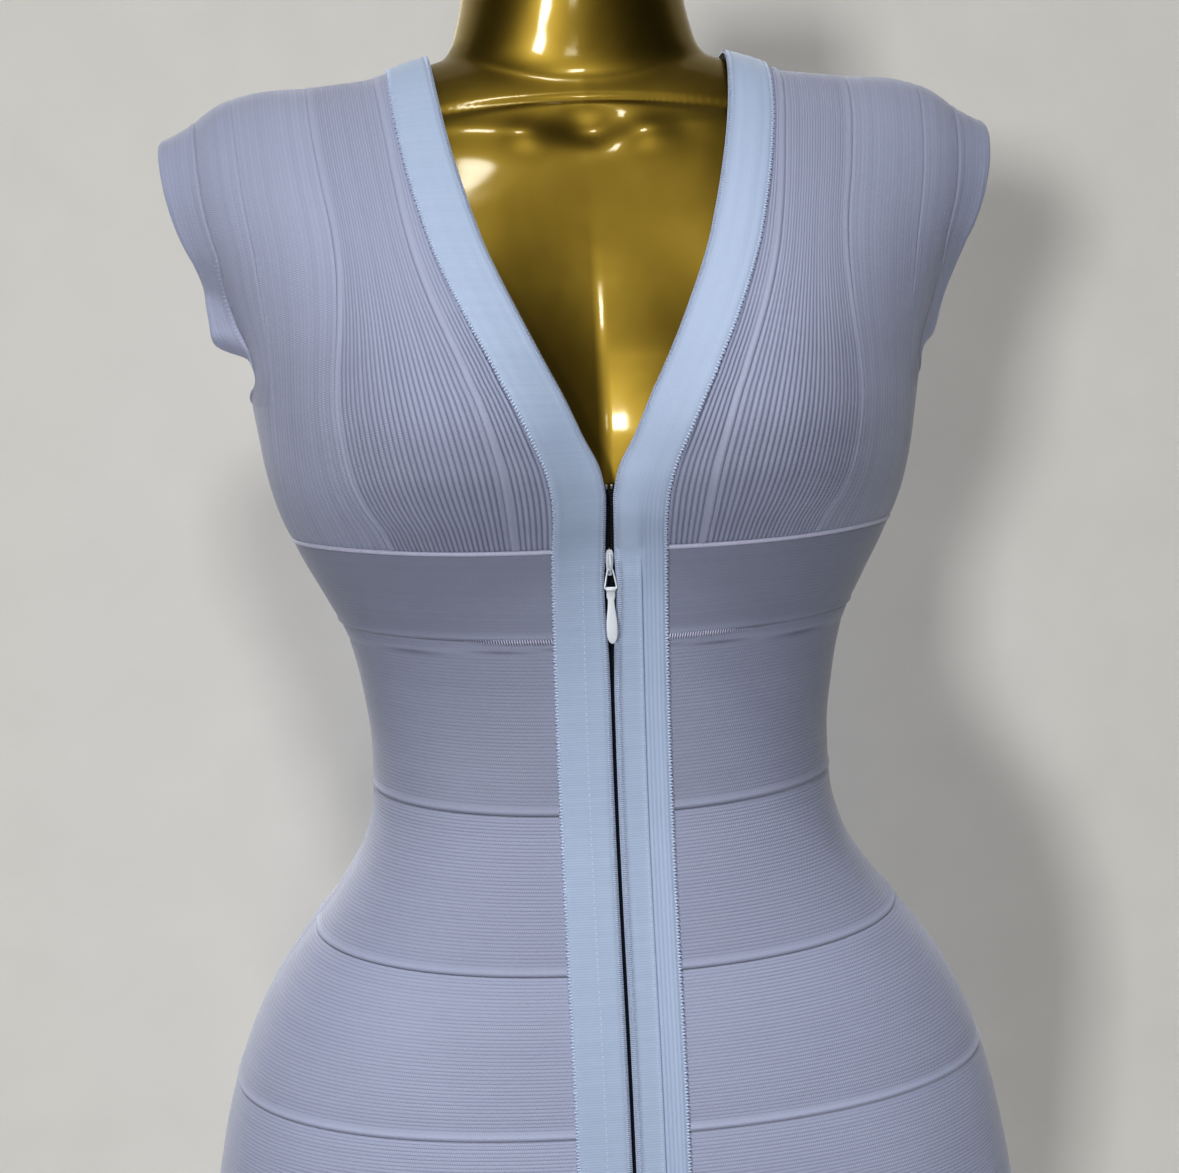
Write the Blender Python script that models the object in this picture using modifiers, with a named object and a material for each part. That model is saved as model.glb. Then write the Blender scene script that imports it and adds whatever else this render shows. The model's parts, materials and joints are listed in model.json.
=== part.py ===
"""Bodycon dress of bandage knit, standing on a limbless dress form.

Metres, +Z up. The front faces -Y and +X is the viewer's right. The origin is
under the middle of the form's base plate.

Every piece of cloth is a wall between two sheets of points. The points lie on
one smooth body surface, found from a table of sections, and each sheet is
moved out from it along the surface's own normals.
"""
import math
from collections import namedtuple

import bmesh
import bpy
import numpy as np
from mathutils import Matrix, Vector

# ---------------------------------------------------------------- driving sizes
KNIT = 0.0016            # thickness of one bandage strip
BAND_KNIT = 0.0016       # thickness of the neck and front bands
LAYER_KNIT = 0.0008      # thickness of the second layer beside the zip
LAYER_EDGE = 0.0150      # its outer edge
LAYER_SET_BACK = 0.0006  # how far its edge stays behind the band's own
SEAM_GAP = 0.0003        # between two pieces that are sewn edge to edge
LAYER_GAP = 0.0003       # between a piece and the panel it lies on
HEM_HEIGHT = 0.490       # lower edge of the skirt above the floor
UNDERBUST = 1.160        # top seam of the underbust strip
Seam = namedtuple("Seam", "height rise")
ROW_SEAMS = (             # height in front, and how much higher it is at the side
    Seam(UNDERBUST, 0.005),
    Seam(1.115, 0.006),
    Seam(1.028, 0.005),
    Seam(0.951, 0.007),
    Seam(0.874, 0.005),
    Seam(0.797, 0.003),
    Seam(0.719, 0.0),
    Seam(0.641, 0.0),
    Seam(0.563, 0.0),
    Seam(HEM_HEIGHT, 0.0),
)
ROW_NAMES = ("underbust", "waist", "high_hip", "hip", "seat", "thigh_1", "thigh_2",
             "thigh_3", "hem")
ROW_STEPS = 3            # levels of facets in one strip
FRONT_STEPS = 7          # facets from the front band to the side seam
BACK_STEPS = 14          # facets from side seam to side seam
BAND_EDGE = 0.0275       # half the width of the two front bands together
CHAIN_EDGE = 0.0034      # where the panels stop beside the zip chain
BAND_TUCK = 0.006        # how far a panel runs under the neck band
NECK_EDGE_DIP = 0.0014   # how much nearer the body the neck band's free edge lies

CREASE = math.radians(40)  # faces that meet at more than this keep a sharp edge

FORM_BOTTOM = 0.700
NECK_TOP = 1.495
FORM_INSET = 0.0024      # the form is this much smaller than the cloth's inner face
ARM_PLATE = 0.1745       # where the form is cut flat at the arm
FORM_LEVELS = (FORM_BOTTOM, 0.745, 0.790, 0.835, 0.875, 0.914, 0.952, 0.978, 1.004, 1.030,
               1.058, 1.087, 1.115, 1.145, 1.160, 1.180, 1.200, 1.222)
FORM_SIDES = 28
FORM_FAN = 1.245         # the form's rings fan out upwards from this height
FORM_LIFTS = (0, 7, 14, 21, 27, 32, 37, 42, 47, 51, 54, 56.5, 58.5, 60.5, 62.5, 65, 69, 72.5, 75.5,
              77.6, 79.5, 83)
POLE_RADIUS = 0.016
BASE_RADIUS = 0.170
BASE_HEIGHT = 0.014
SOCKET_RADIUS = 0.030
SOCKET_HEIGHT = 0.030
LIP = 0.003              # the rounding of the stand's edges

# ------------------------------------------------------------- the body surface
# One row for each horizontal section: half width, depth in front of and behind
# the side line, and how far the fullest point of the bust stands out from it.
Section = namedtuple("Section", "height half front back bust")
SECTIONS = (
    Section(0.480, 0.1840, 0.108, 0.116, 0.0),
    Section(0.600, 0.1990, 0.111, 0.128, 0.0),
    Section(0.700, 0.2110, 0.113, 0.139, 0.0),
    Section(0.790, 0.2165, 0.114, 0.146, 0.0),
    Section(0.845, 0.2080, 0.112, 0.142, 0.0),
    Section(0.885, 0.1975, 0.109, 0.134, 0.0),
    Section(0.920, 0.1815, 0.104, 0.123, 0.0),
    Section(0.950, 0.1612, 0.098, 0.111, 0.0),
    Section(0.975, 0.1412, 0.093, 0.101, 0.0),
    Section(1.000, 0.1265, 0.089, 0.093, 0.0),
    Section(1.025, 0.1203, 0.086, 0.088, 0.0),
    Section(1.055, 0.1192, 0.085, 0.086, 0.0),
    Section(1.085, 0.1225, 0.086, 0.088, 0.0),
    Section(1.110, 0.1280, 0.088, 0.091, 0.0005),
    Section(1.135, 0.1395, 0.091, 0.095, 0.002),
    Section(1.160, 0.1525, 0.094, 0.099, 0.009),
    Section(1.180, 0.1610, 0.096, 0.102, 0.024),
    Section(1.200, 0.1660, 0.097, 0.104, 0.034),
    Section(1.220, 0.1690, 0.098, 0.106, 0.037),
    Section(1.250, 0.1740, 0.098, 0.108, 0.031),
    Section(1.285, 0.1860, 0.096, 0.109, 0.018),
    Section(1.320, 0.2080, 0.092, 0.108, 0.007),
    Section(1.360, 0.2400, 0.087, 0.105, 0.001),
    Section(1.420, 0.2900, 0.080, 0.100, 0.0),
)
SIDE_ROUNDNESS = 2.45     # exponent of the sections: 2 is an ellipse
BUST_CENTRE = 0.083
BUST_OUTER = 0.058
BUST_INNER = 0.082        # the knit spans the hollow between the cups
FORM_BUST_INNER = 0.056   # the form shows the hollow
ARCH_FOOT = 1.190         # the shoulders arch over from this height
ARCH_POWER = 2.5

# The shoulder line seen from the front: height at a distance from the middle.
Ridge = namedtuple("Ridge", "reach height")
RIDGE = (
    Ridge(0.000, 1.4120),
    Ridge(0.050, 1.4090),
    Ridge(0.076, 1.4035),
    Ridge(0.094, 1.3965),
    Ridge(0.110, 1.3925),
    Ridge(0.135, 1.3900),
    Ridge(0.158, 1.3885),
    Ridge(0.175, 1.3850),
    Ridge(0.190, 1.3765),
    Ridge(0.215, 1.3560),
    Ridge(0.260, 1.3200),
)

# The form's neck: half width and half depth at a height.
Neck = namedtuple("Neck", "height half depth")
NECK = (
    Neck(1.360, 0.0700, 0.0450),
    Neck(1.395, 0.0680, 0.0470),
    Neck(1.415, 0.0615, 0.0505),
    Neck(1.435, 0.0570, 0.0530),
    Neck(1.460, 0.0550, 0.0530),
    Neck(1.520, 0.0545, 0.0530),
)
NECK_CENTRE_Y = 0.002
NECK_BLEND = 18.0         # how sharply the neck meets the shoulders

# Lines on the front of the bodice, at stations going up over the shoulder. A
# station is a height up to FAN_HEIGHT, and then a turn of degrees about it.
# Each column is the distance of one line from the middle of the body.
FAN_HEIGHT = 1.305
AT_SIDE_SEAM = 1.0       # stands for the side seam in the column of the strip's side
Station = namedtuple("Station", "height turn inner outer seam_1 seam_2 seam_3 side")
STATIONS = (
    Station(1.160, 0, 0.0023, 0.0275, 0.0465, 0.1025, 0.1455, 1.0),
    Station(1.172, 0, 0.0023, 0.0272, 0.0480, 0.1075, 0.1505, 1.0),
    Station(1.184, 0, 0.0023, 0.0278, 0.0495, 0.1150, 0.1540, 1.0),
    Station(1.197, 0, 0.0045, 0.0305, 0.0517, 0.1203, 0.1562, 1.0),
    Station(1.214, 0, 0.0125, 0.0375, 0.0560, 0.1235, 0.1570, 1.0),
    Station(1.233, 0, 0.0210, 0.0465, 0.0620, 0.1250, 0.1570, 1.0),
    Station(1.239, 0, 0.0240, 0.0495, 0.0645, 0.1247, 0.1569, 0.1690),
    Station(1.247, 0, 0.0280, 0.0530, 0.0675, 0.1243, 0.1568, 0.1655),
    Station(1.260, 0, 0.0342, 0.0594, 0.0728, 0.1230, 0.1572, 0.1680),
    Station(1.275, 0, 0.0410, 0.0662, 0.0787, 0.1220, 0.1582, 0.1740),
    Station(1.290, 0, 0.0475, 0.0725, 0.0838, 0.1218, 0.1600, 0.1782),
    Station(1.305, 0, 0.0532, 0.0780, 0.0880, 0.1228, 0.1617, 0.1800),
    Station(FAN_HEIGHT, 12, 0.0585, 0.0828, 0.0916, 0.1250, 0.1638, 0.1825),
    Station(FAN_HEIGHT, 25, 0.0630, 0.0868, 0.0943, 0.1280, 0.1660, 0.1852),
    Station(FAN_HEIGHT, 39, 0.0670, 0.0900, 0.0968, 0.1308, 0.1680, 0.1873),
    Station(FAN_HEIGHT, 54, 0.0705, 0.0927, 0.0995, 0.1335, 0.1700, 0.1890),
    Station(FAN_HEIGHT, 69, 0.0732, 0.0943, 0.1018, 0.1355, 0.1722, 0.1905),
    Station(FAN_HEIGHT, 84, 0.0750, 0.0950, 0.1033, 0.1370, 0.1738, 0.1915),
    Station(FAN_HEIGHT, 99, 0.0755, 0.0950, 0.1040, 0.1375, 0.1745, 0.1920),
)
SHOULDER_SEAM = STATIONS[-1]
RIDGE_CLIMB = 75         # one more row of the back's facets where it curves most
ARMHOLE_FIRST = 5        # the first station whose side is the armhole's edge

# The cap strip round the armhole: how far it reaches out, by the armhole's stations.
Cap = namedtuple("Cap", "share reach")
CAP = (
    Cap(0.00, 0.0030),
    Cap(0.10, 0.0055),
    Cap(0.22, 0.0150),
    Cap(0.32, 0.0125),
    Cap(0.45, 0.0150),
    Cap(0.65, 0.0165),
    Cap(1.00, 0.0180),
)
CAP_SIDE = (1.0, 0.0, 0.35)  # roughly the way out of the armhole
CAP_FLARE = 0.25         # how far it turns out of the shoulder's own curve

# The back neckline: the turn at the middle and at the shoulder seam.
BACK_NECK_INNER_TURN = 133.0
BACK_NECK_OUTER_TURN = 150.0
NECKLINE_POWER = 2.2
BACK_TUCK_TURN = 4.5     # how far the back runs under its neck band, in degrees
SEAM_TURN = 0.35         # the gap of the shoulder seam, in degrees
BACK_BAND_LIFT = 0.0006  # the neck band behind lies this much further out
BACK_EDGE_DIP = 0.0012
BACK_BAND_STEPS = 24

# The zip. The chain lies between the panels, and the bands close over it.
Gap = namedtuple("Gap", "height half")
ZIP_GAP = (
    Gap(0.480, 0.0009),
    Gap(1.085, 0.0009),
    Gap(1.115, 0.0015),
    Gap(1.130, 0.0025),
    Gap(1.145, 0.0028),
    Gap(1.160, 0.0023),
    Gap(1.200, 0.0023),
)
CHAIN_INNER = 0.0002      # the chain's inner face off the body surface
CHAIN_WIDTH = 0.0019      # one half of the chain
CHAIN_THICK = 0.0012
CHAIN_PART = 0.0010       # how far each half is parted above the slider
ZIP_TOP = 1.1885
STOP_SIZE = (0.0017, 0.0016, 0.0024)
STOP_BEVEL = 0.0004
CHAIN_MEET = 0.0150       # the halves part over this length below the slider's top
SLIDER_TOP = 1.1600
SLIDER_PLATE = (0.0038, 0.0008, 0.0130)
POST_WIDTH = 0.0010
POST_LENGTH = 0.0016
BRIDGE_SPAN = 0.0088
BRIDGE_RISE = 0.0042
BRIDGE_WIDTH = 0.0009
BRIDGE_THICK = 0.0009

# The pull: a wire ring hung in the slider's bridge, and a drop hung on the ring.
RING_AXIS_HEIGHT = 1.1509
RING_AXIS_LIFT = 0.0040
RING_LENGTH = 0.0095
Corner = namedtuple("Corner", "x z cut rounding")
RING_CORNERS = (
    Corner(-0.00125, 0.0, 0.0009, 0.45),
    Corner(0.00125, 0.0, 0.0009, 0.45),
    Corner(0.00305, -RING_LENGTH, 0.0012, 0.31),
    Corner(-0.00305, -RING_LENGTH, 0.0012, 0.31),
)
WIRE_RADIUS = 0.00045
BARREL_OUTER = 0.00125
BARREL_INNER = 0.00075
BARREL_WIDTH = 0.0046
PULL_THICK = 0.0013
FACE_SHARE = 0.55         # the drop's flat face against its whole width
Drop = namedtuple("Drop", "down half")
DROP = (
    Drop(0.0012, 0.0021),
    Drop(0.0031, 0.0022),
    Drop(0.0056, 0.0016),
    Drop(0.0086, 0.0018),
    Drop(0.0136, 0.0024),
    Drop(0.0186, 0.0027),
    Drop(0.0226, 0.0025),
    Drop(0.0251, 0.0017),
    Drop(0.0261, 0.0007),
)

FINISHES = {
    "knit": ((0.335, 0.345, 0.450), 0.80, 0.0),
    "band": ((0.370, 0.440, 0.580), 0.70, 0.0),
    "zip_tape": ((0.020, 0.022, 0.035), 0.60, 0.0),
    "enamel": ((0.800, 0.820, 0.850), 0.25, 0.0),
    "gold": ((0.520, 0.370, 0.075), 0.12, 1.0),
    "steel": ((0.560, 0.560, 0.570), 0.28, 1.0),
}


# ------------------------------------------------------------------ smooth tables
def smooth(rows, key, value, at):
    """Read a column of a table at one or many places, on a monotone cubic."""
    xs = np.array([getattr(row, key) for row in rows])
    ys = np.array([getattr(row, value) for row in rows])
    steps = np.diff(xs)
    slopes = np.diff(ys) / steps
    product = slopes[:-1] * slopes[1:]
    total = slopes[:-1] + slopes[1:]
    inner = np.where(product > 0, 2 * product / np.where(total == 0, 1, total), 0.0)
    tangents = np.concatenate(([slopes[0]], inner, [slopes[-1]]))
    at = np.clip(np.asarray(at, dtype=float), xs[0], xs[-1])
    i = np.clip(np.searchsorted(xs, at) - 1, 0, len(xs) - 2)
    t = (at - xs[i]) / steps[i]
    start = (1 + 2 * t) * (1 - t) ** 2 * ys[i] + t * (1 - t) ** 2 * steps[i] * tangents[i]
    end = t * t * (3 - 2 * t) * ys[i + 1] + t * t * (t - 1) * steps[i] * tangents[i + 1]
    return start + end


def bust_share(x, inner_width):
    """Share of the bust's depth at a distance from the middle."""
    off = np.abs(x) - BUST_CENTRE
    width = np.where(off > 0, BUST_OUTER, inner_width)
    return np.exp(-((off / width) ** 2))


def body_field(points, inset=0.0, bust_inner=BUST_INNER):
    """Negative inside the worn shape, positive outside it."""
    x, y, z = points[:, 0], points[:, 1], points[:, 2]
    half = smooth(SECTIONS, "height", "half", z) - inset
    front = smooth(SECTIONS, "height", "front", z) - inset
    back = smooth(SECTIONS, "height", "back", z) - inset
    bust = smooth(SECTIONS, "height", "bust", z)
    depth = np.where(y < 0, front + bust * bust_share(x, bust_inner), back)
    crown = smooth(RIDGE, "reach", "height", np.abs(x)) - inset
    rise = np.clip((z - ARCH_FOOT) / (crown - ARCH_FOOT), 0.0, None)
    beside = 1.0 - np.abs(x / half) ** SIDE_ROUNDNESS
    below = 1.0 - rise ** ARCH_POWER
    within = (beside > 0) & (below > 0)
    room = np.where(within, beside * below, np.minimum(beside, below))
    return np.abs(y / depth) ** SIDE_ROUNDNESS - room


def form_field(points):
    """The dress form: the body with a neck, cut flat at the arms."""
    torso = body_field(points, FORM_INSET, FORM_BUST_INNER)
    at_arm = points[:, 2] > ARCH_FOOT
    torso = torso + np.where(at_arm, np.abs(points[:, 0] / ARM_PLATE) ** 40, 0.0)
    x, y, z = points[:, 0], points[:, 1] - NECK_CENTRE_Y, points[:, 2]
    half = smooth(NECK, "height", "half", z)
    depth = smooth(NECK, "height", "depth", z)
    top = np.clip((z - ARCH_FOOT) / (NECK_TOP - ARCH_FOOT), 0.0, None) ** 60
    neck = (x / half) ** 2 + (y / depth) ** 2 + top - 1.0
    return -np.log(np.exp(-NECK_BLEND * np.clip(torso, -1, 9))
                   + np.exp(-NECK_BLEND * np.clip(neck, -1, 9))) / NECK_BLEND


def cast(origins, directions, field=body_field):
    """Where rays from inside leave the surface of a field."""
    near = np.zeros(len(origins))
    far = np.full(len(origins), 0.45)
    for _ in range(42):
        middle = (near + far) / 2
        inside = field(origins + directions * middle[:, None]) < 0
        near = np.where(inside, middle, near)
        far = np.where(inside, far, middle)
    return origins + directions * near[:, None]


def normals_of(points, field=body_field):
    """Outward unit normals of a field at points of its surface."""
    step = 0.0004
    slopes = []
    for axis in np.eye(3):
        slopes.append(field(points + axis * step) - field(points - axis * step))
    normal = np.stack(slopes, axis=1)
    return normal / np.linalg.norm(normal, axis=1)[:, None]


def at_angle(angles, height):
    """Points round one level; 0 is the front and 90 degrees the side at +X."""
    angles = np.radians(np.asarray(angles, dtype=float))
    origins = np.stack([0 * angles, 0 * angles, 0 * angles + height], axis=1)
    rays = np.stack([np.sin(angles), -np.cos(angles), 0 * angles], axis=1)
    return cast(origins, rays)


def at_reach(xs, height, turn):
    """Points at a station, straight ahead of each x and turned up by degrees."""
    xs = np.asarray(xs, dtype=float)
    turn = np.radians(turn) + 0 * xs
    origins = np.stack([xs, 0 * xs, height + 0 * xs], axis=1)
    rays = np.stack([0 * xs, -np.cos(turn), np.sin(turn)], axis=1)
    return cast(origins, rays)


def raised(points, rise):
    """A level of points, lifted towards the sides and put back on the surface."""
    share = np.abs(points[:, 0]) / half_width(points[0, 2])
    share = np.where(points[:, 1] > 0, 1.0, np.clip(share, 0, 1))
    origins = points * np.array([0.0, 0.0, 1.0])
    origins[:, 2] += rise * share ** 2
    rays = points * np.array([1.0, 1.0, 0.0])
    return cast(origins, rays / np.linalg.norm(rays, axis=1)[:, None])


def half_width(height):
    """Half the body's width at a height."""
    return float(smooth(SECTIONS, "height", "half", height))


# ------------------------------------------------------------------- small tools
def material(slot):
    """The plain colour of one finish."""
    found = bpy.data.materials.get(slot)
    if found:
        return found
    colour, roughness, metallic = FINISHES[slot]
    made = bpy.data.materials.new(slot)
    made.use_nodes = True
    shader = made.node_tree.nodes["Principled BSDF"]
    shader.inputs["Base Color"].default_value = (*colour, 1.0)
    shader.inputs["Roughness"].default_value = roughness
    shader.inputs["Metallic"].default_value = metallic
    made.diffuse_color = (*colour, 1.0)
    return made


def add_object(name, mesh, slot, group):
    """Put a mesh in the scene as one named piece."""
    mesh.materials.clear()
    mesh.materials.append(material(slot))
    piece = bpy.data.objects.new(name, mesh)
    group.objects.link(piece)
    return piece


def grid_normals(grid, closed):
    """Normals of a sheet of points from its own neighbours."""
    if closed:
        along = np.roll(grid, -1, axis=0) - np.roll(grid, 1, axis=0)
    else:
        along = np.gradient(grid, axis=0)
    across = np.gradient(grid, axis=1)
    normal = np.cross(along, across)
    return normal / np.linalg.norm(normal, axis=2)[:, :, None]


def wall(name, slot, group, grid, lift=0.0, thick=KNIT, closed=False, normals=None):
    """A wall of cloth through a grid of points, moved out by lift.

    grid is rows x columns x 3. lift is a number, or one for each point.
    """
    grid = np.asarray(grid)
    rows, cols = grid.shape[:2]
    if normals is None:
        normals = normals_of(grid.reshape(-1, 3)).reshape(rows, cols, 3)
    lift = np.broadcast_to(lift, (rows, cols))[:, :, None]
    inner = grid + normals * lift
    outer = grid + normals * (lift + thick)
    mesh = bpy.data.meshes.new(name)
    build = bmesh.new()
    below = [[build.verts.new(p) for p in row] for row in inner]
    above = [[build.verts.new(p) for p in row] for row in outer]
    turns = rows if closed else rows - 1
    for r in range(turns):
        n = (r + 1) % rows
        for c in range(cols - 1):
            build.faces.new((above[r][c], above[n][c], above[n][c + 1], above[r][c + 1]))
            build.faces.new((below[r][c], below[r][c + 1], below[n][c + 1], below[n][c]))
        build.faces.new((above[r][0], below[r][0], below[n][0], above[n][0]))
        build.faces.new((above[r][-1], above[n][-1], below[n][-1], below[r][-1]))
    if not closed:
        for c in range(cols - 1):
            build.faces.new((above[0][c], above[0][c + 1], below[0][c + 1], below[0][c]))
            build.faces.new((above[-1][c], below[-1][c], below[-1][c + 1], above[-1][c + 1]))
    if build.calc_volume(signed=True) < 0:
        bmesh.ops.reverse_faces(build, faces=build.faces)
    build.to_mesh(mesh)
    build.free()
    mesh.shade_smooth()
    mesh.set_sharp_from_angle(angle=CREASE)
    return add_object(name, mesh, slot, group)


def mirrored(grid):
    """The same sheet on the other side of the body."""
    return np.asarray(grid) * np.array([-1.0, 1.0, 1.0])


def both_sides(name, slot, group, grid, **settings):
    """A pair of walls, left and right as the viewer sees them."""
    wall(name + "_left", slot, group, mirrored(grid), **settings)
    wall(name + "_right", slot, group, grid, **settings)


def side_angle(x, height):
    """The angle round the body of a point on the front at x."""
    point = at_reach([x], height, 0)[0]
    return math.degrees(math.atan2(point[0], -point[1]))


# ---------------------------------------------------------------- strips and rows
def row_levels(index):
    """The heights of one strip's facets with their rise, a seam gap short at each end."""
    above, below = ROW_SEAMS[index:index + 2]
    heights = np.linspace(above.height - SEAM_GAP / 2, below.height + SEAM_GAP / 2, ROW_STEPS + 1)
    return list(zip(heights, np.linspace(above.rise, below.rise, ROW_STEPS + 1)))


def front_level(height, rise):
    """One level of a front panel, from the zip to the side seam."""
    lead = at_reach([CHAIN_EDGE, BAND_EDGE - BAND_TUCK, BAND_EDGE], height, 0)
    seam = math.degrees(SEAM_GAP / 2 / half_width(height))
    start = side_angle(BAND_EDGE, height)
    share = np.linspace(0, 1, FRONT_STEPS + 1)[1:]
    rest = at_angle(start + (90 - seam - start) * share, height)
    return raised(np.concatenate([lead, rest]), rise)


def back_level(height, rise=0.0):
    """One level of a back panel, from side seam to side seam."""
    seam = math.degrees(SEAM_GAP / 2 / half_width(height))
    return at_angle(np.linspace(90 + seam, 270 - seam, BACK_STEPS + 1), height + rise)


def make_rows(group):
    """The strips below the bust: front left, front right and back of each."""
    for index, name in enumerate(ROW_NAMES):
        levels = row_levels(index)
        both_sides(name + "_front", "knit", group, [front_level(*level) for level in levels])
        wall(name + "_back", "knit", group, [back_level(*level) for level in levels])


def station_points(station, start, end, steps):
    """Points across one bodice strip at a station, evenly turned round the body."""
    if station.turn:
        return at_reach(np.linspace(start, end, steps + 1), station.height, station.turn)
    half = half_width(station.height)
    if end == AT_SIDE_SEAM:
        last = 90.0 - math.degrees(SEAM_GAP / 2 / half)
        turns = np.linspace(side_angle(start, station.height), last, steps + 1)
        return at_angle(turns, station.height)
    shares = np.linspace(math.asin(start / half), math.asin(end / half), steps + 1)
    return at_reach(half * np.sin(shares), station.height, 0)


def bodice_station(station):
    """The station itself, moved a seam gap up from the underbust seam."""
    if station.height == UNDERBUST:
        return station._replace(height=UNDERBUST + SEAM_GAP / 2)
    return station


def make_front_bodice(group):
    """Four shaped strips on each side, from the underbust over the shoulder."""
    gap = SEAM_GAP / 2
    strips = (("strip_a", "outer", "seam_1", 1), ("strip_b", "seam_1", "seam_2", 4),
              ("strip_c", "seam_2", "seam_3", 3), ("strip_d", "seam_3", "side", 2))
    for name, start, end, steps in strips:
        grid = []
        for row in map(bodice_station, STATIONS):
            first, last = getattr(row, start), getattr(row, end)
            last = last if last == AT_SIDE_SEAM else last - gap
            if name == "strip_a":
                tuck = at_reach([first - BAND_TUCK], row.height, row.turn)
                rest = station_points(row, first, last, steps)
                grid.append(np.concatenate([tuck, rest]))
            else:
                grid.append(station_points(row, first + gap, last, steps))
        grid[0] = raised(grid[0], ROW_SEAMS[0].rise)
        both_sides(name, "knit", group, grid)


def armhole_edge():
    """The front edge of the right armhole, from the underarm to the shoulder seam."""
    first = STATIONS[ARMHOLE_FIRST]
    edge = [at_angle([90.0], first.height)[0]]
    for row in STATIONS[ARMHOLE_FIRST + 1:]:
        edge.append(at_reach([row.side], row.height, row.turn)[0])
    return np.array(edge)


def neckline_turn(x, turn, reach):
    """The turn of the back neckline at x, rising to the shoulder seam."""
    seam = SHOULDER_SEAM.turn
    return turn + (seam - turn) * np.clip(np.abs(x) / reach, 0, 1) ** NECKLINE_POWER


def make_back_bodice(group):
    """Three plain strips across the back, up to the shoulder seam."""
    gap = SEAM_GAP / 2
    underarm = STATIONS[ARMHOLE_FIRST].height
    levels = np.linspace(UNDERBUST + ROW_SEAMS[0].rise + gap, underarm - gap, 4)
    wall("back_low", "knit", group, [back_level(z) for z in levels])

    grid = []
    for row in STATIONS[ARMHOLE_FIRST:]:
        if row.turn:
            break
        z = row.height + gap if row.height == underarm else row.height
        z = z - gap if row.height == FAN_HEIGHT else z
        half = half_width(z)
        reach = math.asin(min(row.side / half, 0.9999))
        xs = half * np.sin(np.linspace(-reach, reach, 15))
        grid.append(at_reach(xs, z, 180.0))
    wall("back_mid", "knit", group, grid)

    outer, seam_turn = SHOULDER_SEAM.outer, SHOULDER_SEAM.turn
    top_turn = 180.0 - seam_turn
    turns = [row.turn for row in STATIONS if row.height == FAN_HEIGHT and row.turn < top_turn]
    turns.extend([RIDGE_CLIMB, top_turn])
    half_xs = [0.0, 0.020, 0.040, 0.060, 0.077, outer - BAND_TUCK, outer,
               SHOULDER_SEAM.seam_1, 0.121, SHOULDER_SEAM.seam_2, 0.156, SHOULDER_SEAM.seam_3]
    grid = []
    for climb in turns:
        line = []
        for x in half_xs + [edge_reach(climb)]:
            last = seam_turn + SEAM_TURN
            if x < outer:
                last = neckline_turn(x, BACK_NECK_OUTER_TURN, outer) - BACK_TUCK_TURN
            turn = 180.0 + (last - 180.0) * climb / turns[-1]
            line.append(at_reach([x], FAN_HEIGHT + gap, turn)[0])
        line = np.array(line)
        grid.append(np.concatenate([mirrored(line[:0:-1]), line]))
    wall("back_yoke", "knit", group, grid)


def edge_reach(turn):
    """The armhole's distance from the middle at a turn up from level."""
    rows = [row for row in STATIONS if row.height == FAN_HEIGHT]
    return float(smooth(rows, "turn", "side", turn))


# -------------------------------------------------------------------- the bands
def band_heights():
    """The levels of the front bands below the bust, those of the strips."""
    levels = []
    for index in range(len(ROW_NAMES)):
        levels.extend(height for height, _ in row_levels(index))
    return levels


def make_front_bands(group):
    """Neck band and front band in one strip, shoulder seam to hem, each side."""
    top_lift = KNIT + LAYER_GAP
    grid, lifts = [], []
    for row in reversed(STATIONS[1:]):
        inner = row.inner
        tuck = row.outer - BAND_TUCK
        xs = [row.outer, tuck, inner]
        grid.append(at_reach(xs, row.height, row.turn))
        free = np.clip((row.height - ZIP_TOP) / 0.030, 0, 1)
        lifts.append([top_lift, top_lift, top_lift - NECK_EDGE_DIP * free])
    for z in band_heights():
        edge = float(smooth(ZIP_GAP, "height", "half", z))
        xs = [BAND_EDGE, BAND_EDGE - BAND_TUCK, edge]
        grid.append(at_reach(xs, z, 0))
        lifts.append([top_lift] * 3)
    lifts = np.array(lifts)
    both_sides("front_band", "band", group, grid, lift=lifts, thick=BAND_KNIT)


def make_placket_layer(group):
    """The second, inner layer of the right front band, beside the zip."""
    grid = []
    for z in band_heights():
        edge = float(smooth(ZIP_GAP, "height", "half", z)) + LAYER_SET_BACK
        grid.append(at_reach([LAYER_EDGE, edge], z, 0))
    wall("placket_layer", "band", group, grid, lift=KNIT + BAND_KNIT + 2 * LAYER_GAP,
         thick=LAYER_KNIT)


def make_back_neck_band(group):
    """The neck band behind, between the shoulder seams."""
    grid, lifts = [], []
    inner, outer = SHOULDER_SEAM.inner, SHOULDER_SEAM.outer
    top_lift = KNIT + LAYER_GAP + BACK_BAND_LIFT
    for share in np.linspace(-1, 1, BACK_BAND_STEPS + 1):
        line = []
        for part in (0.0, 0.3, 0.65, 1.0):
            reach = outer + (inner - outer) * part
            middle = BACK_NECK_OUTER_TURN + (BACK_NECK_INNER_TURN - BACK_NECK_OUTER_TURN) * part
            x = reach * share
            turn = neckline_turn(x, middle, reach) + SEAM_TURN
            line.append(at_reach([x], FAN_HEIGHT, turn)[0])
        grid.append(line)
        lifts.append([top_lift, top_lift, top_lift - BACK_EDGE_DIP / 2, top_lift - BACK_EDGE_DIP])
    wall("back_neck_band", "band", group, grid, lift=np.array(lifts), thick=BAND_KNIT)


def armhole_loop():
    """The whole edge of the right armhole: up the front, down the back."""
    behind = [at_reach([edge_reach(RIDGE_CLIMB)], FAN_HEIGHT, 180.0 - RIDGE_CLIMB)[0]]
    for row in reversed(STATIONS[ARMHOLE_FIRST + 1:-2]):
        behind.append(at_reach([row.side], row.height, 180.0 - row.turn)[0])
    return np.concatenate([armhole_edge(), behind])


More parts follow.
